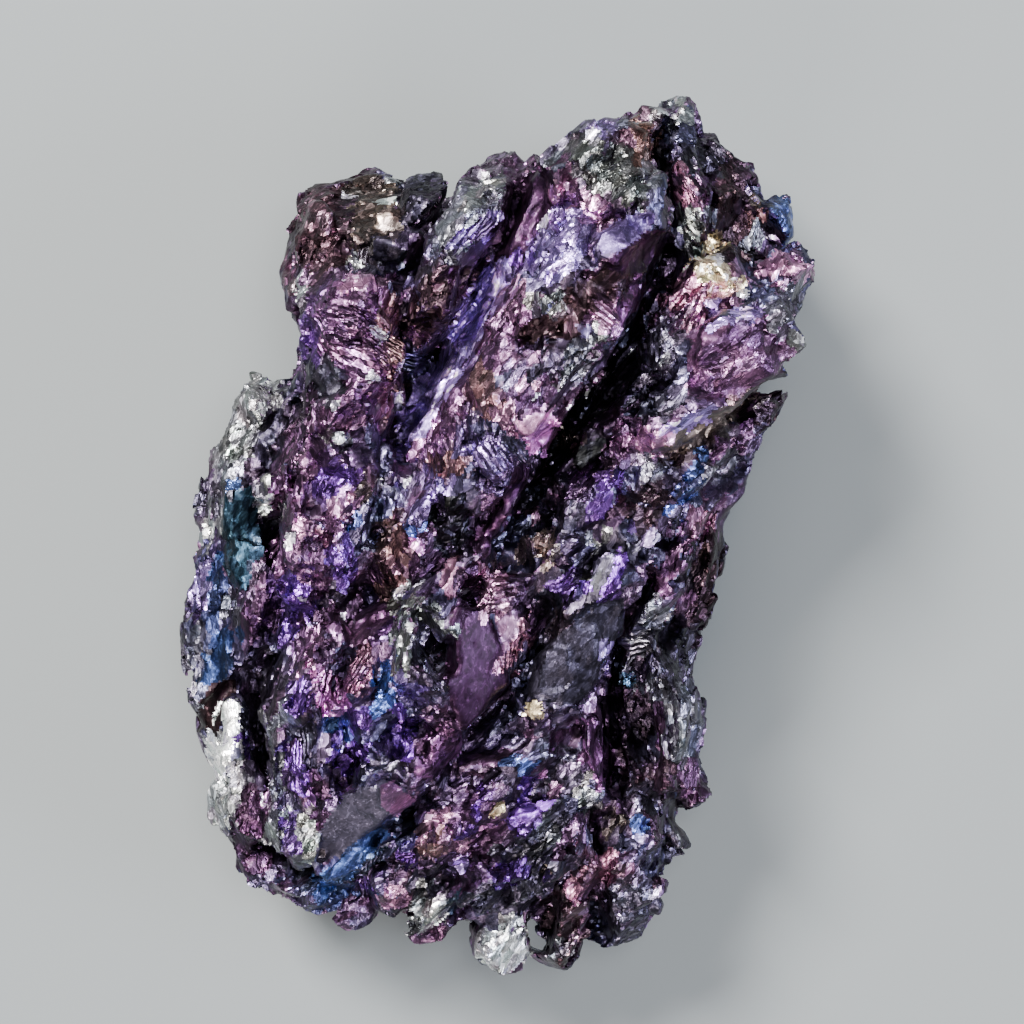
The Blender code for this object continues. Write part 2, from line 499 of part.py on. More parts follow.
def thinned(obj, collection):
    """Fewer triangles, laid where the facets need them, on a base that is flat where it rests."""
    add_remesh(obj, "closed")
    resting = bpy.data.objects.new("resting_lump", evaluated_mesh(obj))
    collection.objects.link(resting)
    drop_crumbs(resting.data)
    press_flat(resting.data, 0.0)
    coarser = resting.modifiers.new("coarser", "DECIMATE")
    coarser.ratio = TRIANGLES / sum(len(face.vertices) - 2 for face in resting.data.polygons)
    mesh = evaluated_mesh(resting)
    press_flat(mesh, REST_SNAP)
    return resting, mesh


def tarnished_metal():
    material = bpy.data.materials.new("tarnished_chalcocite")
    material.use_nodes = True
    shader = material.node_tree.nodes["Principled BSDF"]
    shader.inputs["Base Color"].default_value = TARNISH_COLOUR
    shader.inputs["Metallic"].default_value = 0.9
    shader.inputs["Roughness"].default_value = 0.35
    return material


def settle(mesh):
    """Brings the mesh to the real size, with the middle of its footprint at the origin."""
    low = Vector([min(v.co[i] for v in mesh.vertices) for i in range(3)])
    high = Vector([max(v.co[i] for v in mesh.vertices) for i in range(3)])
    size = high - low
    middle = (low + high) / 2
    foot = Matrix.Translation((-middle.x, -middle.y, -low.z))
    stretch = Matrix.Diagonal((WIDTH / size.x, LENGTH / size.y, THICKNESS / size.z, 1.0))
    mesh.transform(stretch @ foot)


def main():
    clear_scene()
    rng = random.Random(SEED)
    specimen_parts = new_collection("chalcocite specimen")
    working = new_collection("working shapes")
    cleft_shapes = new_collection("clefts")
    lump = rough_lump(rng, working)
    cutters = [cleft_cutter(name, points, cleft_shapes) for name, points in CLEFTS.items()]
    cutters.append(hollow_cutter("square_hollow", CAVITY, CAVITY_HALF_SIZE, cleft_shapes))
    facets = bpy.data.objects.new("broken_facets", grown_together(lump, cleft_shapes))
    working.objects.link(facets)
    break_into_facets(facets.data, rng)
    resting, mesh = thinned(facets, working)
    for shape in (*cutters, lump, facets, resting):
        shape.hide_render = True
        shape.display_type = "WIRE"
    settle(mesh)
    mesh.name = "chalcocite_specimen"
    mesh.materials.clear()
    mesh.materials.append(tarnished_metal())
    specimen_parts.objects.link(bpy.data.objects.new("chalcocite_specimen", mesh))


main()
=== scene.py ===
import math

import bmesh
import bpy
import numpy as np
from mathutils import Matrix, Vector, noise
from mathutils.bvhtree import BVHTree
from mathutils.kdtree import KDTree


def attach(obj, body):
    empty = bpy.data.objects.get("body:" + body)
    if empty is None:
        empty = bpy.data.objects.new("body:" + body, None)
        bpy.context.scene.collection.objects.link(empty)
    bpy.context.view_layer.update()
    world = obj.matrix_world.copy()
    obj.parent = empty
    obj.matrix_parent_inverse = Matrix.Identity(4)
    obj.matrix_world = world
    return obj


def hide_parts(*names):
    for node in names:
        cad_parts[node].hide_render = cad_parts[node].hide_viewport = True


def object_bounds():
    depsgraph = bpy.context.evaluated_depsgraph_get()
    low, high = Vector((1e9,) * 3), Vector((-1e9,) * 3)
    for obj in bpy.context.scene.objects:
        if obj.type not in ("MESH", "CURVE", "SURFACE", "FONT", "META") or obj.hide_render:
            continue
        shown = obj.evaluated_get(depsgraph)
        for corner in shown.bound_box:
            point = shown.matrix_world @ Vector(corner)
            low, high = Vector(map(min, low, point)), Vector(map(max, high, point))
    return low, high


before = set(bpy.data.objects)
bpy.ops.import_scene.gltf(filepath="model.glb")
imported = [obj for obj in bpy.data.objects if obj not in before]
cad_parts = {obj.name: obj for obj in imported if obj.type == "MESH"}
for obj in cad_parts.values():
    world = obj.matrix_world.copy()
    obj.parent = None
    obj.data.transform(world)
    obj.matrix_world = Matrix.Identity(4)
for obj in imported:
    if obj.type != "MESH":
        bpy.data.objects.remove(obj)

cad_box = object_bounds()

# The specimen: chalcocite that grew as slanting ribs, side by side and into each other, until
# ledges, clefts and small flat crystals covered it. It is native growth, so nothing is fixed to
# anything. The measured solid is carved down to crystal scale here, in millimetres.

# Places on the front are read off a map of it, in twentieths of a millimetre right and down. The
# map is drawn as the front is seen from VIEW_POINT.
MAP_MIDDLE = 512
MAP_SCALE = 3697.8
MAP_STEPS = 20
VIEW_POINT = (0.75, 1.2, 193.4)

# Where the growth heads, in degrees from the short side: x, y, reach, heading.
HEADINGS = [
    (207, 596, 70, 88), (231, 426, 60, 80), (217, 756, 70, 96), (327, 536, 80, 80),
    (347, 376, 80, 66), (357, 226, 80, 50), (467, 256, 70, 58), (577, 286, 80, 57),
    (487, 456, 80, 60), (687, 336, 60, 50), (737, 396, 60, 38), (727, 186, 70, 98),
    (597, 596, 80, 60), (697, 616, 70, 75), (677, 776, 70, 80), (457, 626, 60, 70),
    (297, 696, 70, 82), (307, 826, 60, 76), (477, 796, 80, 40), (377, 876, 70, 38),
    (547, 906, 60, 55), (637, 886, 60, 66),
]

# Where the outline has to give a little: x, y, reach, shift right, shift down.
NUDGES = [
    (223, 390, 50, 14, 8), (185, 706, 40, 10, 0), (340, 930, 50, 12, -10), (745, 552, 40, -18, 0),
    (709, 650, 60, -20, 0), (637, 110, 30, 8, 6), (820, 330, 40, -14, 0), (195, 550, 60, 8, 0),
    (205, 770, 40, 10, 0), (690, 860, 24, 12, 0), (320, 185, 20, -10, 0), (265, 900, 24, 12, 0),
    (456, 186, 20, -4, -12), (434, 186, 16, 10, -4), (330, 180, 26, -12, 4), (345, 942, 24, -16, 6),
    (797, 206, 24, -14, 0), (788, 385, 20, 10, 0), (694, 828, 22, -12, 0), (250, 420, 24, 8, 0),
]

# The same, for the finished skin.
LAST_NUDGES = [
    (355, 920, 26, 8, -14), (402, 908, 18, 0, 14), (325, 182, 20, -14, -2), (768, 382, 16, 14, 0),
    (735, 520, 20, -12, 0), (725, 140, 20, -10, 0), (712, 745, 20, -9, 0), (285, 902, 18, -8, 0),
]

# Crystals and lumps that stand out: colour, brightness, half width, height in mm, then the line
# that each follows.
# A brightness past one is a painted highlight for a crystal that flashes; below one it is partly
# the tarnish's tone, partly painted shade.
CRYSTALS = [
    # The dark head and its bright rim.
    ("brown", 1.15, 24, 0.4, (322, 208), (318, 250)),
    ("taupe", 0.95, 24, 0.4, (378, 200), (372, 240)),
    ("slate", 0.55, 16, 0.4, (425, 187), (415, 215)), ("rose", 0.7, 6, 0.4, (289, 255), (296, 292)),
    ("silver", 1.1, 6, 0.3, (296, 275), (300, 292)),
    ("silver", 0.9, 5, 0.3, (310, 195), (316, 190)),
    ("silver", 1.0, 6, 0.3, (330, 179), (340, 176)),
    ("silver", 1.3, 5, 0.3, (384, 198), (400, 203)), ("silver", 1.0, 4, 0.3, (391, 175)),
    ("silver", 1.15, 6, 0.3, (357, 262), (360, 268)),
    # The striated block, coppery down its right edge.
    ("mauve", 0.85, 36, 0.3, (346, 310), (358, 390)),
    ("pink", 1.35, 11, 0.3, (352, 284), (386, 292)),
    ("salmon", 0.8, 9, 0.2, (392, 300), (396, 400)),
    # The second lobe.
    ("steel", 1.12, 20, 0.6, (490, 192), (452, 240)),
    ("silver", 1.0, 11, 0.2, (492, 182), (470, 200)),
    ("lilac", 1.15, 7, 0.2, (500, 217), (447, 250)),
    ("brown", 1.0, 24, 0.4, (446, 285), (430, 330)), ("pink", 1.2, 8, 0.3, (414, 334)),
    ("lilac", 0.88, 6, 0.3, (412, 284), (416, 286)), ("mauve", 0.8, 7, 0.3, (428, 343), (436, 340)),
    ("brown", 0.6, 10, 0.3, (455, 308), (450, 322)),
    # The central ridge, from its top down to the bosses.
    ("grey green", 0.75, 28, 0.4, (596, 160), (630, 180)),
    ("lilac", 0.9, 12, 0.3, (604, 122), (612, 124)), ("steel", 0.9, 8, 0.3, (625, 123)),
    ("silver", 1.0, 7, 0.3, (548, 160)), ("mauve", 0.9, 9, 0.3, (567, 165), (572, 160)),
    ("pink", 1.35, 6, 0.3, (560, 188), (556, 202)), ("pink", 1.22, 10, 0.3, (588, 200), (600, 208)),
    ("lilac", 1.05, 24, 0.3, (566, 232), (558, 256)),
    ("lilac", 1.1, 10, 0.2, (527, 272), (515, 282)),
    ("pink", 1.0, 12, 0.45, (517, 288), (512, 304)),
    ("grey green", 0.75, 11, 0.45, (547, 306), (558, 302)), ("silver", 0.9, 6, 0.35, (532, 297)),
    ("pink", 1.12, 12, 0.5, (596, 310), (610, 320)),
    ("silver", 0.85, 9, 0.4, (591, 334), (604, 338)),
    ("steel", 0.42, 18, 0.45, (580, 355), (574, 370)),
    ("mauve", 0.85, 20, 0.4, (512, 325), (498, 352)), ("pink", 1.1, 9, 0.4, (530, 385)),
    ("salmon", 0.75, 17, 0.45, (480, 380), (488, 402)),
    ("pink", 1.15, 12, 0.45, (503, 412), (512, 420)),
    ("hot pink", 1.3, 15, 0.55, (530, 430), (545, 422)), ("pink", 1.2, 8, 0.35, (533, 448)),
    ("lilac", 0.66, 22, 0.35, (488, 448), (508, 470)),
    ("salmon", 1.0, 13, 0.4, (442, 462), (458, 462)),
    ("lilac", 1.15, 13, 0.3, (428, 482), (446, 488)),
    ("mauve", 1.34, 16, 0.4, (418, 448), (440, 425)),
    # What lies between the bosses and the hollow crystal.
    ("lilac", 1.0, 11, 0.5, (428, 505), (420, 520)), ("blue", 1.2, 8, 0.55, (414, 527)),
    # The darkest crystal here is painted shade in a hole.
    ("hot pink", 1.4, 8, 0.6, (417, 541)), ("black", 0.6, 16, 0.4, (450, 512), (456, 536)),
    ("plum", 0.8, 11, 0.7, (526, 470), (484, 540)), ("pink", 0.9, 8, 0.5, (461, 560), (450, 588)),
    ("plum", 0.5, 14, 1.2, (474, 572), (468, 604)),
    ("taupe", 1.55, 15, 0.5, (532, 548), (544, 544)),
    ("silver", 0.8, 7, 0.35, (586, 542), (604, 540)),
    ("violet", 0.6, 11, 0.4, (562, 584), (580, 586)),
    ("pink", 0.88, 16, 0.6, (497, 578), (490, 604)), ("rose", 1.0, 8, 0.4, (520, 628), (514, 668)),
    ("grey green", 1.08, 11, 0.5, (404, 598), (402, 684)),
    ("grey green", 0.85, 9, 0.5, (404, 594), (448, 626)),
    ("slate", 0.6, 6, 0.4, (416, 655), (446, 690)), ("slate", 1.9, 9, 1.5, (422, 638), (430, 678)),
    ("pink", 0.9, 6, 0.3, (536, 512)), ("violet", 0.95, 5, 0.3, (628, 532), (620, 574)),
    ("violet", 0.9, 5, 0.3, (612, 580), (610, 600)), ("lilac", 1.2, 6, 0.3, (612, 644), (606, 658)),
    # The pink ridge, gold at its head, the knobs at its end and the blade below it.
    ("rose", 1.2, 24, 0.4, (680, 318), (720, 285)),
    ("pale gold", 1.5, 12, 0.4, (714, 244), (714, 272)),
    ("pale gold", 1.45, 9, 0.3, (696, 270), (734, 282)), ("lilac", 1.4, 8, 0.3, (716, 301)),
    ("slate", 1.25, 18, 0.5, (676, 320), (652, 372)),
    ("slate", 0.6, 14, 0.4, (612, 400), (636, 388)), ("taupe", 0.7, 9, 0.5, (566, 428), (574, 444)),
    ("mauve", 0.84, 26, 0.5, (778, 340), (712, 372)),
    ("lilac", 1.3, 6, 0.4, (700, 325), (760, 313)), ("silver", 1.1, 7, 0.4, (786, 340), (806, 345)),
    ("pink", 1.1, 13, 0.5, (770, 268), (804, 268)), ("steel", 1.0, 14, 0.4, (796, 290), (782, 318)),
    ("silver", 1.2, 5, 0.2, (650, 362), (660, 361)), ("pink", 1.5, 10, 0.5, (636, 442), (668, 430)),
    ("lilac", 1.4, 6, 0.5, (668, 430), (716, 407)), ("brown", 0.6, 11, 0.3, (782, 388), (766, 415)),
    ("mauve", 0.8, 14, 0.3, (744, 432), (728, 450)),
    # The columns and knobs at the top right.
    ("silver", 1.1, 9, 0.4, (678, 100), (684, 118)),
    ("silver", 1.0, 8, 0.4, (658, 104), (656, 114)), ("silver", 0.9, 6, 0.3, (680, 136)),
    ("bronze", 1.05, 16, 0.3, (645, 130), (646, 155)),
    ("rose", 1.25, 11, 0.5, (684, 170), (688, 202)),
    ("slate", 0.5, 20, 0.3, (700, 158), (726, 170)), ("steel", 1.1, 7, 0.4, (645, 172), (656, 183)),
    ("plum", 0.5, 10, 0.3, (708, 180), (708, 212)), ("brown", 0.7, 12, 0.3, (732, 170), (724, 215)),
    ("grey green", 1.6, 12, 0.5, (690, 215), (692, 245)), ("steel", 0.9, 9, 0.3, (706, 222)),
    ("salmon", 0.9, 9, 0.4, (760, 213)), ("steel", 1.15, 9, 0.3, (757, 228), (750, 258)),
    ("blue", 1.08, 13, 0.4, (784, 212), (792, 234)),
    ("brown", 0.6, 12, 0.3, (738, 225), (732, 255)), ("taupe", 0.7, 7, 0.3, (748, 190), (756, 198)),
    # The right side, from the blue strip down to the cave.
    ("steel", 1.1, 14, 0.4, (650, 464), (657, 472)),
    ("blue", 1.0, 8, 0.5, (702, 456), (692, 484), (680, 504)),
    ("steel", 0.8, 12, 0.4, (716, 470), (730, 460)),
    ("violet", 0.85, 14, 0.4, (608, 484), (602, 508)),
    ("brown", 0.45, 18, 0.3, (630, 508), (650, 496)),
    ("rose", 1.0, 13, 0.4, (696, 516), (710, 520)), ("brown", 0.5, 16, 0.5, (714, 542), (706, 604)),
    ("mauve", 0.7, 8, 0.4, (690, 530), (668, 590)), ("plum", 0.6, 8, 0.4, (672, 560), (660, 590)),
    ("pink", 1.0, 8, 0.35, (661, 611)), ("silver", 1.0, 6, 0.35, (672, 604), (678, 614)),
    ("steel", 1.08, 10, 0.5, (655, 604), (641, 640), (629, 668)),
    ("slate", 0.5, 13, 0.5, (662, 655), (672, 682)), ("teal", 1.25, 9, 0.4, (626, 679)),
    ("steel", 0.8, 9, 0.3, (646, 684), (660, 690)), ("steel", 1.0, 17, 0.5, (684, 700), (676, 742)),
    ("slate", 0.6, 12, 0.4, (694, 640), (690, 665)),
    ("mauve", 0.7, 13, 0.4, (690, 772), (694, 792)),
    ("plum", 0.75, 14, 0.5, (596, 728), (604, 765)),
    ("silver", 0.4, 12, 0.4, (578, 788), (590, 800)),
    ("taupe", 0.45, 10, 0.4, (614, 812), (618, 824)), ("blue", 0.8, 8, 0.3, (637, 818), (642, 826)),
    ("slate", 0.7, 12, 0.4, (634, 790), (650, 804)),
    ("slate", 0.8, 14, 0.4, (676, 838), (680, 856)),
    # The left rib, mostly bare silver with teal hollows.
    ("silver", 1.05, 20, 0.9, (262, 388), (248, 404)),
    ("silver", 0.5, 13, 0.3, (245, 425), (236, 452)),
    ("steel", 0.74, 15, 0.3, (236, 470), (224, 500)), ("blue", 0.9, 9, 0.3, (232, 486), (246, 494)),
    ("silver", 1.35, 9, 2.2, (270, 486), (268, 512)),
    ("slate", 0.85, 11, 0.4, (206, 490), (202, 503)),
    ("silver", 1.3, 9, 0.4, (213, 518), (204, 540)), ("blue", 0.6, 13, 0.3, (214, 562), (208, 572)),
    ("lilac", 0.8, 10, 0.3, (203, 575), (198, 612)), ("steel", 0.7, 8, 0.3, (228, 607), (238, 609)),
    ("steel", 0.9, 11, 0.3, (194, 655), (196, 705)),
    ("silver", 1.8, 16, 0.4, (226, 712), (220, 765)),
    ("silver", 1.1, 14, 0.4, (224, 790), (226, 806)),
    ("plum", 0.5, 16, 0.25, (256, 805), (262, 850)),
    ("violet", 0.9, 6, 0.3, (243, 738), (250, 752)),
    # The purple block.
    ("mauve", 0.7, 22, 0.3, (300, 440), (296, 500)),
    ("mauve", 0.8, 18, 0.4, (292, 530), (288, 565)),
    ("violet", 0.75, 16, 0.4, (330, 486), (342, 476)),
    ("pink", 1.2, 11, 0.4, (338, 507), (346, 503)), ("pink", 1.1, 6, 0.35, (306, 524), (320, 536)),
    ("mauve", 0.9, 12, 0.3, (330, 518), (334, 532)),
    ("violet", 0.9, 13, 0.4, (342, 553), (348, 572)),
    ("mauve", 0.7, 14, 0.3, (318, 570), (316, 585)),
    ("violet", 1.08, 14, 0.3, (292, 588), (300, 600)),
    ("taupe", 0.8, 11, 0.3, (366, 486), (378, 480)),
    ("silver", 0.9, 9, 0.3, (338, 438), (346, 436)), ("blue", 0.7, 8, 0.3, (354, 524)),
    # The lower left crystals and the plum facet with its teal edge.
    ("steel", 0.9, 6, 0.6, (290, 684), (278, 728), (275, 790), (279, 845)),
    ("violet", 0.8, 15, 0.5, (300, 688), (300, 706)),
    ("hot pink", 1.2, 11, 0.55, (326, 678), (331, 700)),
    ("mauve", 0.65, 14, 0.4, (316, 618), (320, 636)), ("pink", 1.0, 8, 0.4, (308, 666)),
    ("violet", 0.8, 10, 0.3, (290, 622), (284, 634)), ("rose", 0.9, 9, 0.4, (360, 650), (360, 690)),
    ("blue", 1.2, 12, 0.5, (388, 672), (388, 702)), ("blue", 0.8, 11, 0.4, (338, 722), (342, 734)),
    ("violet", 0.9, 12, 0.3, (352, 712), (366, 722)),
    ("violet", 1.0, 8, 0.45, (348, 747), (366, 752)),
    ("violet", 0.7, 12, 1.2, (345, 754), (352, 764)),
    ("violet", 1.35, 8, 0.5, (400, 714), (408, 740), (410, 760)),
    ("violet", 0.9, 12, 0.45, (292, 750), (306, 790)),
    ("plum", 0.5, 11, 0.4, (318, 775), (318, 805)),
    ("grey green", 1.2, 14, 0.4, (304, 828), (306, 850)),
    ("silver", 1.0, 8, 0.3, (274, 820), (272, 842)),
    ("violet", 0.7, 8, 0.3, (290, 815), (292, 845)), ("mauve", 0.7, 9, 0.4, (286, 888), (294, 898)),
    ("lilac", 1.0, 10, 0.3, (410, 686), (412, 700)), ("plum", 0.6, 16, 0.4, (432, 760), (446, 735)),
    # The lower band of pebbles and bent ribs.
    ("lilac", 1.0, 11, 0.4, (396, 840), (410, 843)), ("pink", 1.1, 8, 0.35, (436, 818), (448, 822)),
    ("pink", 1.0, 8, 0.35, (426, 836), (440, 838)),
    ("salmon", 1.1, 7, 0.35, (424, 850), (438, 848)),
    ("pink", 1.1, 7, 0.35, (456, 842), (468, 840)), ("pink", 1.0, 6, 0.3, (452, 826)),
    ("violet", 0.86, 8, 0.45, (474, 810), (468, 830)), ("hot pink", 1.2, 6, 0.4, (488, 826)),
    ("violet", 1.0, 10, 0.45, (512, 824), (538, 814)),
    ("pale gold", 1.0, 5, 0.35, (493, 806), (500, 812)), ("pale gold", 1.1, 5, 0.3, (504, 799)),
    ("violet", 0.9, 8, 0.3, (486, 790)),
    ("steel", 0.62, 8, 0.4, (556, 800), (545, 840), (515, 862)),
    ("slate", 0.7, 12, 0.4, (530, 842), (505, 852)),
    ("blue", 0.9, 10, 0.35, (512, 760), (528, 764)),
    ("slate", 1.2, 12, 0.35, (545, 748), (570, 756)),
    ("violet", 0.8, 7, 0.3, (530, 780), (528, 794)), ("pink", 1.1, 7, 0.35, (560, 768), (556, 780)),
    ("slate", 0.8, 9, 0.4, (552, 862), (520, 890)),
    ("pale gold", 0.9, 5, 0.3, (554, 860), (544, 872)),
    ("mauve", 0.64, 9, 0.35, (560, 850), (580, 822)),
    ("violet", 0.6, 10, 0.3, (500, 880), (524, 868)),
    ("lilac", 1.1, 8, 0.3, (452, 866), (466, 862)), ("violet", 0.8, 9, 0.3, (412, 866)),
    ("pink", 0.88, 9, 0.35, (400, 890), (406, 896)),
    ("silver", 0.75, 6, 0.3, (420, 886), (428, 890)),
    ("violet", 0.8, 7, 0.3, (362, 890), (374, 884)), ("lilac", 0.9, 6, 0.3, (362, 908)),
    ("pink", 0.9, 7, 0.3, (380, 900), (388, 892)), ("slate", 0.7, 9, 0.3, (470, 900), (500, 884)),
    # The foot: bare silver, and three round lobes.
    ("silver", 1.2, 17, 0.4, (412, 922), (432, 908)),
    ("silver", 1.42, 23, 0.6, (500, 950), (514, 942)),
    ("silver", 1.1, 8, 0.3, (505, 928), (520, 925)),
    ("mauve", 0.6, 15, 0.3, (448, 935), (464, 940)),
    ("brown", 0.85, 18, 0.5, (566, 905), (562, 950)),
    ("rose", 1.32, 13, 0.3, (576, 885), (574, 898)), ("steel", 0.9, 9, 0.3, (556, 948), (564, 944)),
    ("rose", 0.9, 15, 0.3, (610, 868), (624, 874)),
    ("slate", 1.06, 24, 0.5, (630, 895), (632, 920)),
]

# Faces that grew flat, as nearly square ovals: colour, brightness, x, y, half length, half width,
# heading, rise to the left, roughness left.
# A brightness past one is a painted highlight for a face that flashes; below one it is partly the
# tarnish's tone, partly painted shade.
FACE_BLUNTNESS = 3.5
FACES = [
    ("plum", 0.55, 527, 215, 46, 13, 67, 0.2, 0.3), ("pink", 1.4, 531, 424, 16, 11, 25, 0.3, 0.15),
    ("hot pink", 1.3, 546, 434, 14, 9, 60, -0.2, 0.15),
    ("slate", 0.58, 387, 250, 16, 11, -20, 0.4, 0.1),
    ("slate", 0.75, 324, 376, 22, 14, -50, 0.1, 0.35),
    ("brown", 0.5, 216, 702, 28, 9, 54, 0.1, 0.1), ("blue", 0.4, 220, 658, 30, 11, 66, 0.3, 0.55),
    ("lilac", 1.6, 455, 350, 92, 14, 60, -0.6, 0.45),
    ("brown", 0.8, 604, 283, 42, 10, 24, 0.5, 0.6), ("brown", 0.45, 550, 330, 28, 9, 8, 0.0, 0.65),
    ("brown", 0.8, 580, 309, 14, 8, 60, 0.0, 0.65), ("teal", 0.52, 241, 538, 44, 16, 86, 0.1, 0.55),
    ("plum", 1.2, 632, 300, 24, 9, 55, 0.9, 0.4), ("violet", 0.88, 524, 819, 18, 8, 18, 0.4, 0.2),
    ("pink", 0.65, 455, 575, 18, 8, 62, 0.3, 0.2), ("blue", 1.0, 352, 858, 44, 9, 42, 0.7, 0.3),
    ("plum", 1.0, 504, 508, 40, 8, 60, -0.3, 0.25),
]

# Larger flat crystal faces: colour, brightness, roughness left, lift in mm, then the corners in
# the order a clock's hand turns.
# A brightness past one is a painted highlight for a face that flashes; below one it is partly the
# tarnish's tone, partly painted shade.
FACETS = [
    ("plum", 0.44, 0.1, 0.25, (452, 604), (488, 606), (500, 640), (513, 684), (486, 712),
     (464, 731), (452, 708), (446, 668)),
    ("plum", 1.5, 0.15, 0.15, (416, 760), (440, 728), (463, 736), (462, 751), (434, 778),
     (417, 777)),
    ("slate", 1.26, 0.12, 0.2, (322, 830), (345, 792), (382, 780), (404, 786), (419, 801),
     (380, 826), (354, 856), (330, 882), (311, 868)),
    ("mauve", 0.9, 0.35, 0.15, (700, 332), (714, 318), (748, 326), (792, 340), (778, 372),
     (756, 386), (708, 402), (690, 376), (687, 354)),
    ("taupe", 1.2, 0.2, 0.0, (645, 450), (676, 434), (704, 418), (762, 378), (796, 358),
     (784, 374), (756, 398), (726, 424), (700, 442), (664, 454)),
    ("slate", 0.62, 0.4, 0.15, (528, 694), (534, 662), (546, 606), (604, 600), (648, 566),
     (634, 606), (616, 642), (606, 684), (598, 704), (548, 702)),
    ("plum", 1.85, 0.15, 0.3, (583, 718), (600, 714), (606, 735), (617, 746), (612, 780),
     (596, 781), (584, 750)),
    ("lilac", 0.98, 0.3, 0.3, (598, 234), (624, 216), (656, 210), (652, 228), (620, 250),
     (602, 255)),
    ("plum", 0.55, 0.4, 0.0, (606, 262), (650, 229), (668, 230), (664, 252), (640, 272),
     (612, 270)), ("pale gold", 1.6, 0.1, 0.4, (525, 703), (538, 698), (546, 718), (531, 718)),
    ("lilac", 2.7, 0.1, 0.2, (706, 298), (720, 294), (726, 300), (717, 308)),
    ("lilac", 1.9, 0.1, 0.2, (738, 310), (752, 306), (756, 318), (748, 320)),
    ("mauve", 1.35, 0.15, 0.2, (380, 786), (392, 780), (416, 800), (396, 816), (382, 806)),
]

# Deep dark gaps: half width, depth in mm, and the line that each follows.
GAPS = [
    (4, 0.7, (440, 212), (425, 250), (410, 285), (402, 345)),
    (8, 2.0, (404, 352), (404, 400), (398, 440)), (9, 1.6, (440, 350), (424, 385), (406, 430)),
    (6, 1.4, (525, 190), (508, 230), (488, 265), (470, 310), (442, 345)),
    (5, 1.4, (312, 386), (311, 412)), (3, 0.6, (600, 216), (660, 197)),
    (5, 1.4, (671, 175), (668, 240)), (8, 1.8, (668, 240), (662, 285)),
    (6, 1.2, (656, 290), (636, 335), (608, 372)), (6, 0.6, (616, 364), (582, 414), (542, 470)),
    (4, 0.6, (700, 322), (730, 302), (765, 287)), (4, 0.7, (698, 324), (689, 355), (697, 388)),
    (7, 2.0, (758, 385), (740, 412)), (4, 0.6, (769, 205), (766, 242)),
    (5, 0.9, (662, 380), (636, 412)), (3, 0.5, (615, 440), (600, 470)),
    (4, 0.9, (667, 515), (652, 560)), (5, 1.2, (645, 590), (618, 640), (608, 690)),
    (7, 1.1, (608, 690), (612, 725), (618, 775)), (14, 0.5, (640, 735), (640, 755)),
    (3, 0.7, (577, 722), (580, 750)), (4, 0.7, (566, 795), (598, 816)),
    (4, 0.8, (612, 785), (618, 806), (630, 822)), (4, 0.9, (500, 866), (528, 852), (547, 838)),
    (4, 0.8, (530, 882), (544, 856), (562, 815)), (3, 0.8, (542, 900), (550, 915), (542, 958)),
    (5, 1.3, (592, 895), (597, 928)), (5, 0.9, (372, 846), (398, 823), (420, 803)),
    (4, 0.8, (396, 880), (422, 852)), (6, 0.9, (460, 916), (480, 926)),
    (5, 1.0, (524, 678), (500, 702), (476, 736), (448, 766)), (4, 1.0, (270, 530), (268, 572)),
    (5, 1.1, (268, 655), (262, 720), (260, 762)), (6, 1.5, (448, 642), (449, 668)),
    (3, 0.5, (328, 640), (330, 662)), (3, 0.5, (322, 725), (326, 765), (332, 795)),
    (4, 0.7, (386, 530), (372, 560), (346, 600)), (3, 0.6, (541, 598), (536, 630), (524, 676)),
    (5, 0.8, (436, 500), (440, 545)), (5, 0.9, (500, 495), (470, 545)),
    (4, 0.7, (530, 500), (510, 530)), (3, 0.4, (460, 475), (500, 482)),
    (3, 0.5, (467, 400), (476, 440)), (4, 0.5, (505, 284), (525, 292)),
    (3, 0.4, (570, 300), (586, 318)), (4, 0.5, (545, 345), (540, 375)),
    (3, 0.6, (668, 100), (670, 132)), (4, 0.6, (478, 268), (440, 285)),
    (3, 0.4, (455, 490), (500, 545)), (4, 0.6, (352, 640), (345, 700)),
    (3, 0.5, (378, 640), (376, 700)), (4, 0.6, (396, 690), (420, 712), (424, 760)),
    (4, 0.6, (690, 545), (685, 600)), (4, 0.6, (655, 625), (662, 645)),
    (3, 0.5, (700, 612), (706, 650)), (3, 0.9, (284, 372), (279, 414), (266, 474)),
    (3, 0.4, (305, 600), (345, 612)), (3, 0.6, (676, 790), (672, 830)),
    (5, 0.8, (590, 824), (602, 850)), (3, 0.5, (560, 870), (566, 850)),
    (3, 0.5, (600, 540), (590, 575)), (3, 0.5, (480, 900), (505, 872)),
    (3, 0.5, (396, 905), (420, 880)), (3, 0.6, (340, 745), (395, 768)),
]

# Crystals with fine growth lines: x, y, half length, half width, heading of the lines.
STRIATED = [
    (365, 345, 60, 34, -28), (505, 455, 32, 22, -42), (327, 690, 24, 12, 94), (494, 592, 22, 20, 4),
    (606, 314, 16, 12, -35), (572, 586, 14, 9, 6), (360, 668, 34, 10, 88), (300, 696, 18, 14, 78),
    (575, 366, 22, 18, 50), (472, 230, 34, 14, 38), (640, 632, 42, 13, 68), (300, 770, 40, 12, 84),
    (516, 648, 30, 8, 70), (690, 312, 26, 20, 60), (550, 845, 40, 10, 60), (390, 860, 60, 14, 42),
]


def on_map(points):
    """Where each point lies on the map of the front."""
    closer = MAP_SCALE / (VIEW_POINT[2] - points[:, 2])
    return np.column_stack([MAP_MIDDLE + (points[:, 0] - VIEW_POINT[0]) * closer,
                            MAP_MIDDLE - (points[:, 1] - VIEW_POINT[1]) * closer])


def toward(heading):
    """One step along a heading, as its parts right and up."""
    turn = math.radians(heading)
    return math.cos(turn), math.sin(turn)


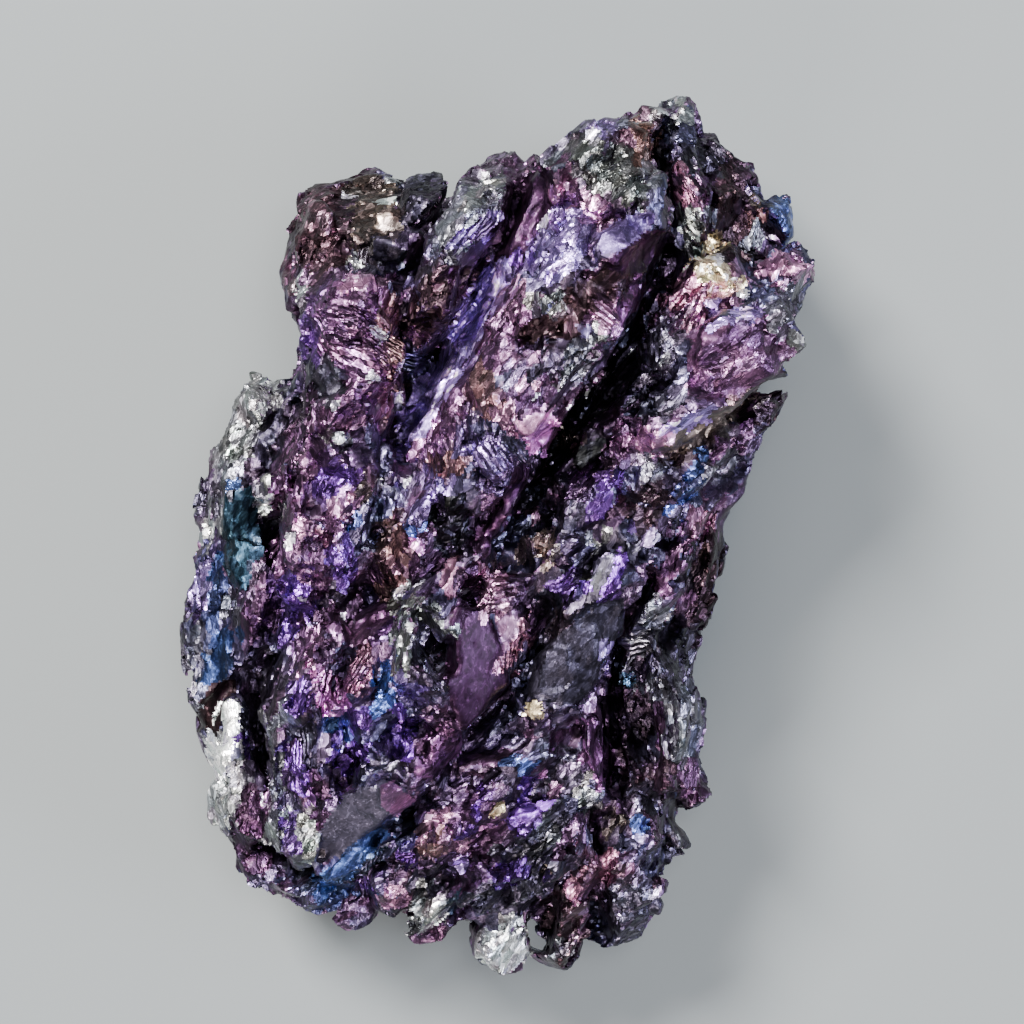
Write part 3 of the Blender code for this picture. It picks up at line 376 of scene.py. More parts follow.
def within(spots, x, y, half_length, half_width, heading, bluntness=2.0):
    """How many half sizes each spot lies from the middle of a turned oval, and how far left."""
    right, up = toward(heading)
    east = spots[:, 0] - x
    north = y - spots[:, 1]
    along = np.abs((east * right + north * up) / half_length)
    left = north * right - east * up
    return (along**bluntness + np.abs(left / half_width) ** bluntness) ** (1 / bluntness), left


def beside(spots, half_width, line):
    """Which spots lie beside a line, and how many half widths from it."""
    places = np.array(line if len(line) > 1 else line * 2, float)
    low = places.min(0) - half_width
    high = places.max(0) + half_width
    close = np.flatnonzero(((spots > low) & (spots < high)).all(1))
    reach = np.full(len(close), 9.0)
    for start, stop in zip(places[:-1], places[1:]):
        run = stop - start
        away = spots[close] - start
        share = np.clip(away @ run / max(run @ run, 1e-9), 0, 1)
        reach = np.minimum(reach, np.hypot(*(away - share[:, None] * run).T) / half_width)
    return close[reach < 1], reach[reach < 1]


def inset(spots, outline):
    """How far each spot lies inside the nearest edge of a many-cornered face, in map units."""
    places = np.array(outline, float)
    depth = np.full(len(spots), 99.0)
    for start, stop in zip(places, np.roll(places, -1, axis=0)):
        run = (stop - start) / np.hypot(*(stop - start))
        away = spots - start
        depth = np.minimum(depth, run[0] * away[:, 1] - run[1] * away[:, 0])
    return depth


def nudge(points, spots, nudges):
    """Shifts the points near each place, most at its middle."""
    for x, y, reach, right, down in nudges:
        pull = np.exp(-((spots[:, 0] - x) ** 2 + (spots[:, 1] - y) ** 2) / reach**2)
        points[:, 0] += pull * right / MAP_STEPS
        points[:, 1] -= pull * down / MAP_STEPS


def growth_lines(points, normals):
    """The direction of growth at each point, lying in the skin."""
    spots = on_map(points)
    flow = np.zeros((len(points), 2))
    for x, y, reach, heading in HEADINGS:
        pull = np.exp(-((spots[:, 0] - x) ** 2 + (spots[:, 1] - y) ** 2) / reach**2)
        flow += (pull + 1e-9)[:, None] * toward(heading)
    for oval in STRIATED:
        flow[(within(spots, *oval)[0] < 1) & (normals[:, 2] > 0)] = toward(oval[4])
    lines = np.column_stack([flow, np.zeros(len(points))])
    lines -= normals * (lines * normals).sum(1)[:, None]
    return lines / (np.linalg.norm(lines, axis=1)[:, None] + 1e-9)


def streaks(points, lines, width, length, start):
    """Noise drawn out along the growth, as deep as it is high about nought."""
    total = np.zeros(len(points))
    for part in (-0.5, -0.25, 0, 0.25, 0.5):
        spots = (points + lines * (part * length)) / width + start
        total += [noise.noise(spot) for spot in spots.tolist()]
    return total / total.std()


def skin(mesh):
    """The points of a mesh and the way the skin faces at each."""
    points = np.empty(len(mesh.vertices) * 3)
    normals = np.empty(len(mesh.vertices) * 3)
    mesh.vertices.foreach_get("co", points)
    mesh.vertices.foreach_get("normal", normals)
    return points.reshape(-1, 3), normals.reshape(-1, 3)


def put_back(mesh, points):
    """Moves a mesh's points to where the carving left them."""
    mesh.vertices.foreach_set("co", points.ravel())
    mesh.update()


def reskinned(rock, grid, softening=0):
    """A fresh skin of even small squares for the rock, softened over a few of them."""
    remesh = rock.modifiers.new("even skin", "REMESH")
    remesh.mode = "VOXEL"
    remesh.voxel_size = grid
    if softening:
        soften = rock.modifiers.new("softening", "SMOOTH")
        soften.factor = 0.5
        soften.iterations = softening
    carved = rock.evaluated_get(bpy.context.evaluated_depsgraph_get())
    fresh = bpy.data.meshes.new_from_object(carved)
    rock.modifiers.clear()
    return fresh


def without_crumbs(mesh):
    """Deletes all but the largest connected skin."""
    shells = bmesh.new()
    shells.from_mesh(mesh)
    found = []
    for corner in shells.verts:
        if corner.tag:
            continue
        corner.tag = True
        shell = [corner]
        for reached in shell:
            for edge in reached.link_edges:
                other = edge.other_vert(reached)
                if not other.tag:
                    other.tag = True
                    shell.append(other)
        found.append(shell)
    found.sort(key=len)
    for crumb in found[:-1]:
        bmesh.ops.delete(shells, geom=crumb, context="VERTS")
    shells.to_mesh(mesh)
    shells.free()


def roughness_kept(points, normals):
    """How much roughness each point keeps: less on the faces that grew flat."""
    spots = on_map(points)
    up = normals[:, 2] > -0.1
    kept = np.ones(len(points))
    for _, _, *oval, _, rough in FACES:
        belongs = np.clip((1.1 - within(spots, *oval, FACE_BLUNTNESS)[0]) / 0.15, 0, 1) * up
        kept = np.minimum(kept, 1 - (1 - rough) * belongs)
    for _, _, rough, _, *outline in FACETS:
        belongs = np.clip(inset(spots, outline) / 2 + 0.5, 0, 1) * up
        kept = np.minimum(kept, 1 - (1 - rough) * belongs)
    return kept


# The squares of the skin, in mm: to round the solid off, to carve the crystals, and to finish.
ROUNDING_GRID = 0.3
CARVING_GRID = 0.14
FINE_GRID = 0.135
chance = np.random.default_rng(11)


class Plates:
    """Flat plates that share out the rock's skin, drawn out along the growth."""

    def __init__(self, points, normals, size, stretch):
        lines = growth_lines(points, normals)
        wanted = FINE_GRID**2 / (1.3 * stretch * size**2)
        self.seeds = np.flatnonzero(chance.random(len(points)) < wanted)
        self.spots, self.facing = points[self.seeds], normals[self.seeds]
        self.lines = lines[self.seeds]
        self.size, self.stretch = size, stretch
        self.tree = KDTree(len(self.seeds))
        for number, place in enumerate(self.spots.tolist()):
            self.tree.insert(place, number)
        self.tree.balance()

    def share_out(self, points, normals):
        """The plate that each point belongs to, and how far the point is from the plate's rim."""
        near = np.array([[found[1] for found in self.tree.find_n(spot, 7)]
                         for spot in points.tolist()])
        gap = points[:, None] - self.spots[near]
        along = (gap * self.lines[near]).sum(2)
        facing = (normals[:, None] * self.facing[near]).sum(2)
        spread = ((gap**2).sum(2) - (1 - 1 / self.stretch**2) * along**2
                  + (1 - facing) * self.size**2)
        reach = np.sqrt(np.maximum(spread, 0))
        order = np.argsort(reach, axis=1)[:, :2]
        rows = np.arange(len(points))
        return near[rows, order[:, 0]], reach[rows, order[:, 1]] - reach[rows, order[:, 0]]

    def flatten(self, points, normals, own, rim, amount, tilt, step, groove, depth):
        """The points with each plate cut flat, tipped and stepped by chance, grooved round."""
        count = len(self.spots)
        tips = chance.normal(0, tilt, (count, 3))
        tips *= chance.choice([0.6, 1.0, 2.2], (count, 1), p=[0.5, 0.35, 0.15])
        faces = self.facing + tips
        faces /= np.linalg.norm(faces, axis=1)[:, None]
        tops = self.spots + self.facing * chance.normal(0, step, count)[:, None]
        lean = np.clip((normals * faces[own]).sum(1), 0.5, 1)
        travel = ((tops[own] - points) * faces[own]).sum(1) / lean
        travel = np.clip(travel, -depth, depth) - groove * np.clip(1 - rim / (2 * groove), 0, 1)
        return points + normals * (travel * amount)[:, None]


cad_solid = bmesh.new()
cad_solid.from_mesh(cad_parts["chalcocite_specimen"].data)
bmesh.ops.remove_doubles(cad_solid, verts=cad_solid.verts, dist=1e-7)
bmesh.ops.scale(cad_solid, vec=(1000, 1000, 1000), verts=cad_solid.verts)
rock_mesh = bpy.data.meshes.new("rock")
cad_solid.to_mesh(rock_mesh)
cad_solid.free()
rock = bpy.data.objects.new("rock", rock_mesh)
bpy.context.scene.collection.objects.link(rock)
bpy.context.view_layer.update()

# Growth relief runs along the ribs. Then crystals are lifted, faces levelled and gaps cut.
rock.data = reskinned(rock, ROUNDING_GRID, softening=5)
rock.data = reskinned(rock, CARVING_GRID)
points, normals = skin(rock.data)
spots = on_map(points)
lines = growth_lines(points, normals)
wide = streaks(points, lines, width=1.5, length=5.0, start=3.0)
narrow = streaks(points, lines, width=0.7, length=2.6, start=40.0)
relief = 0.24 * (np.abs(wide) ** 0.8 - 1.1) + 0.06 * (np.abs(narrow) ** 0.8 - 0.9)
points = points + normals * (relief * roughness_kept(points, normals))[:, None]
upward = np.clip((normals[:, 2] + 0.1) / 0.3, 0, 1)
lift = np.zeros(len(points))
for _, _, half_width, height, *line in CRYSTALS:
    close, reach = beside(spots, half_width, line)
    lift[close] = np.maximum(lift[close], height * (1 - reach**4))
points[:, 2] += lift * upward
MOST_LEVELLING = 1.2
for _, _, *oval, rise, rough in FACES:
    reach, left = within(spots, *oval, FACE_BLUNTNESS)
    inside = (reach < 1.1) & (normals[:, 2] > 0.1)
    travel = np.median(points[inside & (reach < 0.8), 2]) + rise * left / MAP_STEPS - points[:, 2]
    belongs = np.clip((1.1 - reach) / 0.1, 0, 1) * (1 - rough) * upward
    points[inside, 2] += (belongs * np.clip(travel, -MOST_LEVELLING, MOST_LEVELLING))[inside]
for _, _, rough, raised, *outline in FACETS:
    depth = inset(spots, outline)
    inside = (depth > 0) & (normals[:, 2] > 0.1)
    away = spots - np.mean(outline, axis=0)
    plane = np.linalg.lstsq(np.column_stack([away[inside], np.ones(inside.sum())]),
                            points[inside, 2], rcond=None)[0]
    travel = away @ plane[:2] + plane[2] + raised - points[:, 2]
    belongs = np.clip(depth / 2 + 0.5, 0, 1) * (1 - rough) * upward
    points[:, 2] += belongs * np.clip(travel, -MOST_LEVELLING, MOST_LEVELLING)
    # A groove 0.3 mm deep sets the face off from what lies round it.
    points[:, 2] -= 0.3 * np.clip(1 - np.abs(depth + 3.5) / 3, 0, 1) * upward
cut = np.zeros(len(points))
for half_width, depth, *line in GAPS:
    close, reach = beside(spots, half_width * 1.4, line)
    cut[close] = np.maximum(cut[close], depth * (1 - reach**1.5))
points[:, 2] -= cut * upward
nudge(points, spots, NUDGES)
put_back(rock.data, points)

# The skin breaks into flat crystals 1.3 mm across.
rock.data = reskinned(rock, FINE_GRID)
points, normals = skin(rock.data)
crystals = Plates(points, normals, size=1.3, stretch=1.8)
own, rim = crystals.share_out(points, normals)
points = crystals.flatten(points, normals, own, rim, roughness_kept(points, normals),
                          tilt=0.12, step=0.08, groove=0.05, depth=0.35)
put_back(rock.data, points)
rock.data = reskinned(rock, FINE_GRID)
without_crumbs(rock.data)

# Each crystal breaks into scales 0.42 mm across, some less than others. The places where the
# rock will be parted stay whole.
points, normals = skin(rock.data)
kept = roughness_kept(points, normals)
own, rim = crystals.share_out(points, normals)
scales = Plates(points, normals, size=0.42, stretch=1.7)
own_scale, scale_rim = scales.share_out(points, normals)
PART_NAMES = ["chalcocite_foot", "chalcocite_lower", "chalcocite_middle", "chalcocite_upper",
              "chalcocite_head"]
upward_order = np.sort(points[:, 1])
cuts = [upward_order[int(len(points) * part / len(PART_NAMES))]
        for part in range(1, len(PART_NAMES))]
from_cut = np.min([np.abs(points[:, 1] - place) for place in cuts], axis=0)
calmness = chance.choice([0.3, 0.42, 0.55], len(crystals.spots), p=[0.35, 0.38, 0.27])
amount = kept * np.clip(from_cut / 0.15 - 0.7, 0, 1) * (1 - 2.5 * (calmness[own] - 0.3))
points = scales.flatten(points, normals, own_scale, scale_rim, amount,
                        tilt=0.13, step=0.03, groove=0.02, depth=0.12)
nudge(points, on_map(points), LAST_NUDGES)

# What would stand out of the measured box is pressed back into its last half millimetre.
BOX_MARGIN = 0.5
low = np.array(cad_box[0]) * 1000
high = np.array(cad_box[1]) * 1000
over = np.maximum(points - (high - BOX_MARGIN), 0)
points += BOX_MARGIN * np.tanh(over / BOX_MARGIN) - over
under = np.maximum(low + BOX_MARGIN - points, 0) * (1, 1, 0)
points -= BOX_MARGIN * np.tanh(under / BOX_MARGIN) - under
points[:, 2] = np.maximum(points[:, 2], low[2])
put_back(rock.data, points)

# How far each point stands proud of the rock's rounded body, or lies sunk in a cleft.
body = reskinned(rock, 0.5, softening=14)
body_tree = BVHTree.FromPolygons([corner.co for corner in body.vertices],
                                 [face.vertices for face in body.polygons])
proud = np.empty(len(points))
for number, spot in enumerate(points.tolist()):
    place, facing, _, away = body_tree.find_nearest(spot)
    outward = sum((spot[axis] - place[axis]) * facing[axis] for axis in range(3))
    proud[number] = math.copysign(away, outward)
bpy.data.meshes.remove(body)

# The tarnish: a film of copper sulphides and oxides over the bare metal, silver where it is thin
# or scraped bare, then gold, pink, violet, blue and teal as it thickens, and plum where dark dust
# dulls it. The darkest colour is painted shade, laid in holes and clefts.
COLOURS = {
    "silver": "#c6cacd", "steel": "#8c8c9c", "grey green": "#7e8484", "pale gold": "#d0c09c",
    "taupe": "#80726e", "bronze": "#755650", "brown": "#56404a", "salmon": "#b0848a",
    "rose": "#a26e8c", "pink": "#bd88b0", "hot pink": "#d084cc", "lilac": "#a288cf",
    "mauve": "#8a608a", "plum": "#644068", "violet": "#7e4eb4", "blue": "#5a70b4",
    # The darkest colour here is painted shade, laid in holes and clefts.
    "teal": "#45627a", "slate": "#5e596e", "black": "#262230",
}
PLUM_BASE = "#412e43"
SLATE_BASE = "#343348"
# Bright flecks: bare silver, and painted glints on the crests.
SILVER_FLECK_AND_GLINT = "#b4b0c0"

# Broad tints under the crystals: colour, brightness, x, y, half length, half width, heading.
# A brightness below one is partly the tarnish's tone, partly painted shade; past one it is a
# painted highlight.
TINTS = [
    # The head, the striated block, the second lobe and the plum strip.
    ("brown", 0.55, 345, 225, 66, 48, 40), ("slate", 0.6, 425, 190, 30, 18, 10),
    ("bronze", 0.8, 382, 205, 26, 18, 20), ("mauve", 0.8, 350, 345, 72, 50, 75),
    ("violet", 0.75, 322, 335, 52, 20, 80), ("salmon", 0.95, 386, 365, 62, 12, 92),
    ("pink", 1.15, 372, 292, 28, 14, -20), ("pink", 1.0, 366, 345, 26, 18, -20),
    ("blue", 0.7, 358, 404, 20, 10, 0), ("steel", 0.85, 470, 205, 48, 22, 55),
    ("brown", 0.55, 445, 285, 52, 30, 50), ("plum", 0.6, 527, 215, 54, 18, 68),
    # The central ridge and its flanks.
    ("grey green", 0.65, 600, 165, 54, 28, -20), ("mauve", 0.9, 580, 195, 36, 16, 5),
    ("lilac", 0.8, 565, 240, 38, 24, 40), ("violet", 0.85, 515, 272, 32, 16, 60),
    ("violet", 0.75, 452, 360, 105, 18, 60), ("brown", 0.5, 605, 285, 50, 16, 25),
    ("plum", 0.45, 626, 262, 40, 14, 34), ("brown", 0.6, 545, 325, 32, 18, 10),
    ("mauve", 0.9, 505, 335, 28, 26, 60), ("slate", 0.48, 560, 365, 34, 24, 50),
    ("mauve", 1.0, 445, 410, 54, 26, 60), ("plum", 0.5, 530, 395, 40, 14, 20),
    ("slate", 0.4, 600, 400, 95, 20, 55), ("plum", 0.45, 592, 470, 34, 12, 60),
    ("slate", 0.35, 550, 470, 60, 24, 50),
    # The pink ridge, the blade and the top right.
    ("rose", 0.95, 690, 300, 44, 28, 50), ("slate", 0.8, 665, 348, 44, 22, 60),
    ("mauve", 1.0, 745, 362, 66, 34, 38), ("salmon", 0.85, 780, 350, 18, 16, 40),
    ("taupe", 0.8, 736, 408, 84, 14, 37), ("brown", 0.5, 722, 205, 55, 34, 90),
    ("rose", 1.0, 686, 186, 20, 12, 85), ("slate", 0.5, 712, 158, 38, 22, 20),
    ("bronze", 0.75, 645, 140, 28, 16, 90), ("slate", 0.42, 672, 395, 26, 20, 40),
    # The left rib and the purple block.
    ("silver", 0.55, 240, 425, 56, 22, 68), ("slate", 0.27, 268, 430, 40, 14, 85),
    ("slate", 0.6, 240, 490, 24, 26, 80), ("slate", 0.38, 240, 545, 60, 24, 88),
    ("blue", 0.42, 212, 590, 50, 14, 85), ("steel", 0.58, 196, 660, 44, 14, 94),
    ("plum", 0.5, 250, 620, 34, 22, 30), ("silver", 1.3, 222, 765, 62, 20, 90),
    ("slate", 0.45, 258, 720, 60, 18, 88), ("slate", 0.35, 272, 668, 26, 10, 88),
    ("slate", 0.5, 306, 735, 26, 14, 88), ("slate", 0.2, 304, 412, 40, 20, 75),
    ("mauve", 0.55, 322, 500, 104, 40, 82), ("bronze", 0.7, 390, 560, 50, 16, 84),
    ("plum", 1.0, 368, 612, 24, 12, 0), ("slate", 0.6, 330, 592, 44, 14, 12),
    ("violet", 0.26, 284, 575, 40, 18, 88), ("plum", 0.5, 304, 632, 30, 16, 80),
    ("plum", 0.45, 252, 845, 34, 28, 0),
    # The middle crystals, the silky slate rib and the right side.
    # The darkest tint here is painted shade in the hollow.
    ("black", 0.8, 455, 525, 30, 22, 60), ("slate", 0.5, 552, 530, 38, 22, 40),
    ("slate", 0.5, 560, 590, 40, 26, 20), ("plum", 0.45, 430, 572, 24, 20, 60),
    ("slate", 0.6, 428, 612, 24, 12, 20), ("slate", 0.42, 624, 545, 28, 18, 60),
    ("slate", 0.65, 568, 655, 70, 36, 60), ("brown", 0.32, 560, 632, 34, 16, 75),
    ("mauve", 0.8, 650, 440, 40, 24, 25), ("slate", 0.5, 655, 500, 40, 24, 60),
    ("taupe", 1.1, 680, 446, 30, 12, 35), ("brown", 0.45, 706, 580, 60, 22, 85),
    ("plum", 0.5, 672, 560, 56, 14, 72), ("brown", 0.4, 632, 735, 56, 24, 88),
    ("slate", 0.6, 668, 650, 50, 30, 80), ("steel", 0.8, 684, 722, 44, 20, 78),
    ("violet", 1.0, 614, 590, 18, 6, 80), ("brown", 0.5, 670, 790, 40, 34, 90),
    # The lower left, the lower band and the foot.
    ("slate", 0.5, 355, 760, 44, 16, 0), ("slate", 0.42, 396, 768, 20, 12, 0),
    ("slate", 0.36, 496, 790, 30, 24, 40), ("plum", 0.6, 320, 790, 44, 12, 88),
    ("grey green", 0.8, 303, 840, 30, 16, 90), ("violet", 0.7, 388, 640, 26, 12, 88),
    ("blue", 0.7, 388, 685, 28, 14, 90), ("plum", 0.65, 438, 740, 44, 22, 60),
    ("slate", 0.55, 420, 670, 34, 22, -50), ("teal", 0.5, 355, 862, 52, 14, 42),
    ("plum", 0.65, 470, 850, 120, 46, 38), ("plum", 0.36, 462, 800, 24, 12, 40),
    ("salmon", 0.9, 436, 836, 24, 20, 50), ("slate", 0.65, 540, 780, 50, 34, 60),
    ("slate", 0.6, 410, 895, 50, 18, 35), ("teal", 0.6, 452, 905, 16, 9, 40),
    ("slate", 0.6, 520, 890, 50, 22, 42), ("brown", 0.45, 590, 858, 24, 18, 60),
    ("slate", 0.28, 560, 832, 30, 14, 60), ("blue", 0.5, 336, 892, 30, 14, 40),
    ("brown", 0.5, 565, 925, 52, 22, 90),
    # Spots over all of these, where one crystal is darker or brighter: partly its own tone, partly
    # painted light and shade for the way it lies to the lamps. The darkest are painted shade in a
    # cleft.
    ("slate", 0.16, 598, 578, 26, 16, 70), ("slate", 0.24, 632, 558, 24, 13, 70),
    ("black", 0.3, 592, 448, 24, 18, 55), ("brown", 0.35, 560, 290, 24, 12, 10),
    ("slate", 0.3, 618, 832, 26, 14, 40), ("slate", 0.3, 656, 408, 16, 12, 30),
    ("bronze", 0.8, 688, 832, 16, 18, 0), ("plum", 0.35, 624, 512, 16, 14, 0),
    ("plum", 0.32, 560, 416, 18, 12, 40), ("plum", 0.35, 432, 800, 16, 12, 0),
    ("steel", 1.1, 366, 256, 18, 13, 20), ("mauve", 0.85, 368, 578, 22, 12, 60),
    ("mauve", 0.85, 688, 608, 16, 16, 0), ("pink", 1.15, 560, 192, 16, 16, 0),
    ("pink", 1.3, 652, 446, 18, 12, 30), ("hot pink", 1.1, 338, 706, 12, 12, 0),
    ("steel", 1.0, 656, 160, 16, 12, 90), ("violet", 0.9, 400, 740, 14, 16, 90),
    ("slate", 0.9, 656, 644, 14, 16, 80), ("mauve", 0.9, 368, 632, 12, 22, 90),
    ("slate", 0.6, 688, 640, 12, 16, 90), ("blue", 0.6, 368, 896, 16, 10, 40),
    ("brown", 0.8, 400, 320, 14, 14, 0), ("lilac", 0.9, 464, 448, 14, 14, 0),
    ("rose", 0.75, 612, 870, 28, 18, 0), ("slate", 0.7, 632, 910, 38, 32, 80),
    ("mauve", 0.6, 440, 945, 40, 14, -20), ("steel", 0.9, 240, 514, 12, 14, 90),
    ("slate", 1.2, 432, 640, 14, 14, 0), ("lilac", 0.9, 466, 352, 14, 14, 0),
    ("slate", 0.12, 600, 582, 20, 14, 70), ("brown", 0.35, 432, 288, 14, 14, 0),
    ("black", 0.5, 592, 450, 20, 14, 55),
]


def linear(code):
    """An sRGB hex colour as the linear colour that a shader takes."""
    parts = [int(code[i:i + 2], 16) / 255 for i in (1, 3, 5)]
    return tuple(c / 12.92 if c <= 0.04045 else ((c + 0.055) / 1.055) ** 2.4 for c in parts) + (1,)


def bare(code):
    """The same colour without its fourth part, to reckon with."""
    return np.array(linear(code)[:3])


def film_with_painted_light(colour, brightness):
    """A tarnish colour as light as it shows: past one the brightness is a painted highlight, for a
    face that flashes, and below one it is partly the tarnish's tone, partly painted shade.
    """
    return bare(COLOURS[colour]) * (0.27 * (brightness if brightness < 1 else brightness**3))


def painted(tint, hold, colour, brightness):
    """The tint with a tarnish colour laid over it, with the painted light and shade of its
    brightness, as thickly as it holds.
    """
    return tint + hold[:, None] * (film_with_painted_light(colour, brightness) - tint)


def keep(mesh, name, kind, domain, values):
    """Keeps a number, vector or colour on each point, face or corner for the material to read."""
    field = {"FLOAT": "value", "FLOAT_VECTOR": "vector", "FLOAT_COLOR": "color"}[kind]
    values = np.ascontiguousarray(values, np.float32)
    mesh.attributes.new(name, kind, domain).data.foreach_set(field, values.ravel())


def numbers_of(items, field):
    """One whole number from each corner or face of a mesh."""
    values = np.empty(len(items), np.int32)
    items.foreach_get(field, values)
    return values


# Each scale has one tint. The base drifts from plum to slate, and on the front the broad tints,
# the large faces, the crystals and the small faces are laid over it in turn.
seeds = scales.spots
front = np.clip((scales.facing[:, 2] + 0.15) / 0.4, 0, 1)
seed_spots = on_map(seeds) + chance.normal(0, 2.5, (len(seeds), 2))
drift = streaks(seeds, scales.lines, width=2.5, length=5.0, start=7.0)[:, None]
plum_base, slate_base = bare(PLUM_BASE), bare(SLATE_BASE)
tint = (plum_base + slate_base) / 2 + np.clip(drift * 0.5, -0.5, 0.5) * (slate_base - plum_base)
tint *= 1 + 0.15 * streaks(seeds, scales.lines, width=1.5, length=4.0, start=17.0)[:, None]
dull = calmness[own[scales.seeds]]
for colour, brightness, *oval in TINTS:
    hold = np.clip((1.2 - within(seed_spots, *oval)[0]) / 0.5, 0, 0.8) * front
    tint = painted(tint, hold, colour, brightness)
for colour, brightness, rough, _, *outline in FACETS:
    hold = np.clip(inset(seed_spots, outline) / 2 - 1.5, 0, 1) * front
    tint = painted(tint, hold, colour, brightness)
    dull += hold * (0.75 - 0.4 * rough - dull)
covered = np.zeros(len(seeds))
for colour, brightness, half_width, _, *line in CRYSTALS:
    close, reach = beside(seed_spots, half_width * 1.05, line)
    hold = np.clip((1 - reach) / 0.3, 0, 0.85) * front[close]
    tint[close] = painted(tint[close], hold, colour, brightness)
    dull[close] *= 1 - 0.6 * hold
    covered[close] = np.maximum(covered[close], hold)
for colour, brightness, *oval, _, rough in FACES:
    reach = within(seed_spots, *oval, FACE_BLUNTNESS)[0]
    hold = np.clip((1.15 - reach) / 0.1, 0, 1) * front
    tint = painted(tint, hold, colour, brightness)
    dull += hold * (0.72 - 0.4 * rough - dull)
# Painted shade: along each gap the tint is darkened, by up to half at its middle.
for half_width, _, *line in GAPS:
    close, reach = beside(seed_spots, half_width * 1.3, line)
    tint[close] *= 1 - (0.5 * (1 - reach**2) * front[close])[:, None]
mottle = np.exp(chance.normal(0, 0.13, (len(seeds), 1)))
tint *= mottle * np.exp(chance.normal(0, 0.04, (len(seeds), 3)))
# Some scales on the crests turn to bright flecks: partly bare silver scraped clean, partly painted
# glints where the crests catch the light.
crest = np.clip(0.1 * (proud[scales.seeds] - 0.2), 0.006, 0.05)
tint[chance.random(len(seeds)) < crest * (dull < 0.35)] = bare(SILVER_FLECK_AND_GLINT)

corners = numbers_of(rock.data.loops, "vertex_index")
sizes = numbers_of(rock.data.polygons, "loop_total")
first = corners[numbers_of(rock.data.polygons, "loop_start")]
face_scale = own_scale[first]
face_spots = on_map(points[first])
face_tint = np.clip(tint[face_scale], 0.004, 1)
face_dull = dull[face_scale]
# The large flat faces end in crisp edges.
for colour, brightness, rough, _, *outline in FACETS:
    inside = (inset(face_spots, outline) > 0) & (normals[first, 2] > 0.1)
    inside &= covered[face_scale] < 0.3
    face_tint[inside] = np.clip(film_with_painted_light(colour, brightness) * mottle[face_scale][inside], 0, 1)
    face_dull[inside] = 0.75 - 0.4 * rough
striated = np.zeros(len(first))
for oval in STRIATED:
    striated[(within(face_spots, *oval)[0] < 1) & (normals[first, 2] > 0)] = 1
# Nearness to the rim of each scale and each crystal, where the creases lie: the material darkens
# these as painted shade.
pit = np.clip(1 - scale_rim / 0.07, 0, 1) * 0.5 + np.clip(1 - rim / 0.12, 0, 1) * 0.7
tint_and_one = np.column_stack([face_tint, np.ones(len(first))])
keep(rock.data, "tint", "FLOAT_COLOR", "FACE", tint_and_one)
keep(rock.data, "dull", "FLOAT", "FACE", face_dull)
keep(rock.data, "striated", "FLOAT", "FACE", striated)
keep(rock.data, "pit", "FLOAT", "POINT", pit)
keep(rock.data, "proud", "FLOAT", "POINT", proud)

# Each crystal has its own grain: millimetres along, across and up from its middle.
crystal = np.repeat(own[first], sizes)
swing = chance.normal(0, 0.25, len(crystals.spots))
along = crystals.lines
across = np.cross(crystals.facing, along)
turned = along * np.cos(swing)[:, None] + across * np.sin(swing)[:, None]
gap = points[corners] - crystals.spots[crystal]
grain = np.column_stack([(gap * axis[crystal]).sum(1) for axis in (
    turned, np.cross(crystals.facing, turned), crystals.facing)])
coarseness = chance.choice([0.6, 0.8, 1.0, 1.3], len(crystals.spots), p=[0.25, 0.3, 0.3, 0.15])
grain *= coarseness[crystal][:, None]
grain += chance.uniform(-40, 40, (len(crystals.spots), 3))[crystal]
keep(rock.data, "grain", "FLOAT_VECTOR", "CORNER", grain)

# Tarnished chalcocite: a metal grown in flat scales, under a film about as thick as a wave of
# light. It glints as a metal does, in the film's colours, and is dull where a face grew flat.
# Its base colour also carries painted shade in the creases and clefts, and painted highlights on
# scale edges, crests, specks and the few scales that flash.
tarnish = bpy.data.materials.new("tarnished_chalcocite")
tarnish.use_nodes = True
tree = tarnish.node_tree
tree.nodes.clear()


def add_node(kind, settings=None, links=None):
    """Adds a node, sets its properties and sockets, and links what feeds it."""
    node = tree.nodes.new("ShaderNode" + kind)
    for name, value in (settings or {}).items():
        if isinstance(name, int) or name in node.inputs:
            node.inputs[name].default_value = value
        else:
            setattr(node, name, value)
    for name, source in (links or {}).items():
        if isinstance(source, bpy.types.Node):
            source = source.outputs[0]
        tree.links.new(source, node.inputs[name])
    return node


kept_on = {
    name: add_node("Attribute", {"attribute_name": name}).outputs[socket]
    for name, socket in (("tint", "Color"), ("grain", "Vector"), ("pit", "Fac"), ("dull", "Fac"),
                         ("proud", "Fac"), ("striated", "Fac"))
}
# The grain wavers by 0.3 mm, so no rim or crease runs straight.
waver = add_node("TexNoise", {"Scale": 1 / 0.5, "Detail": 2}, {"Vector": kept_on["grain"]})
swayed = add_node("VectorMath", {"operation": "MULTIPLY_ADD", 1: (0.3,) * 3},
                  {0: waver.outputs["Color"], 2: kept_on["grain"]})
# Flat scales 0.4 mm long and 0.22 mm wide: each has its own lean, tone and polish, and a rim
# darkened as painted shade.
drawn = add_node("VectorMath", {"operation": "MULTIPLY", 1: (1 / 0.4, 1 / 0.22, 1 / 0.22)},
                 {0: swayed})
scale = add_node("TexVoronoi", {"Scale": 1.0}, {"Vector": drawn})
scale_edge = add_node("TexVoronoi", {"feature": "DISTANCE_TO_EDGE", "Scale": 1.0},
                      {"Vector": drawn}).outputs["Distance"]
scale_chance = add_node("SeparateXYZ", {}, {0: scale.outputs["Color"]})
lean = add_node("VectorMath", {"operation": "SUBTRACT", 1: (0.5,) * 3},
                {0: scale.outputs["Color"]})
# Faces that grew flat are dull, and keep little of all this.
calm = add_node("MapRange", {"From Min": 0.3, "From Max": 0.7, "To Min": 1.0, "To Max": 0.1},
                {"Value": kept_on["dull"]})
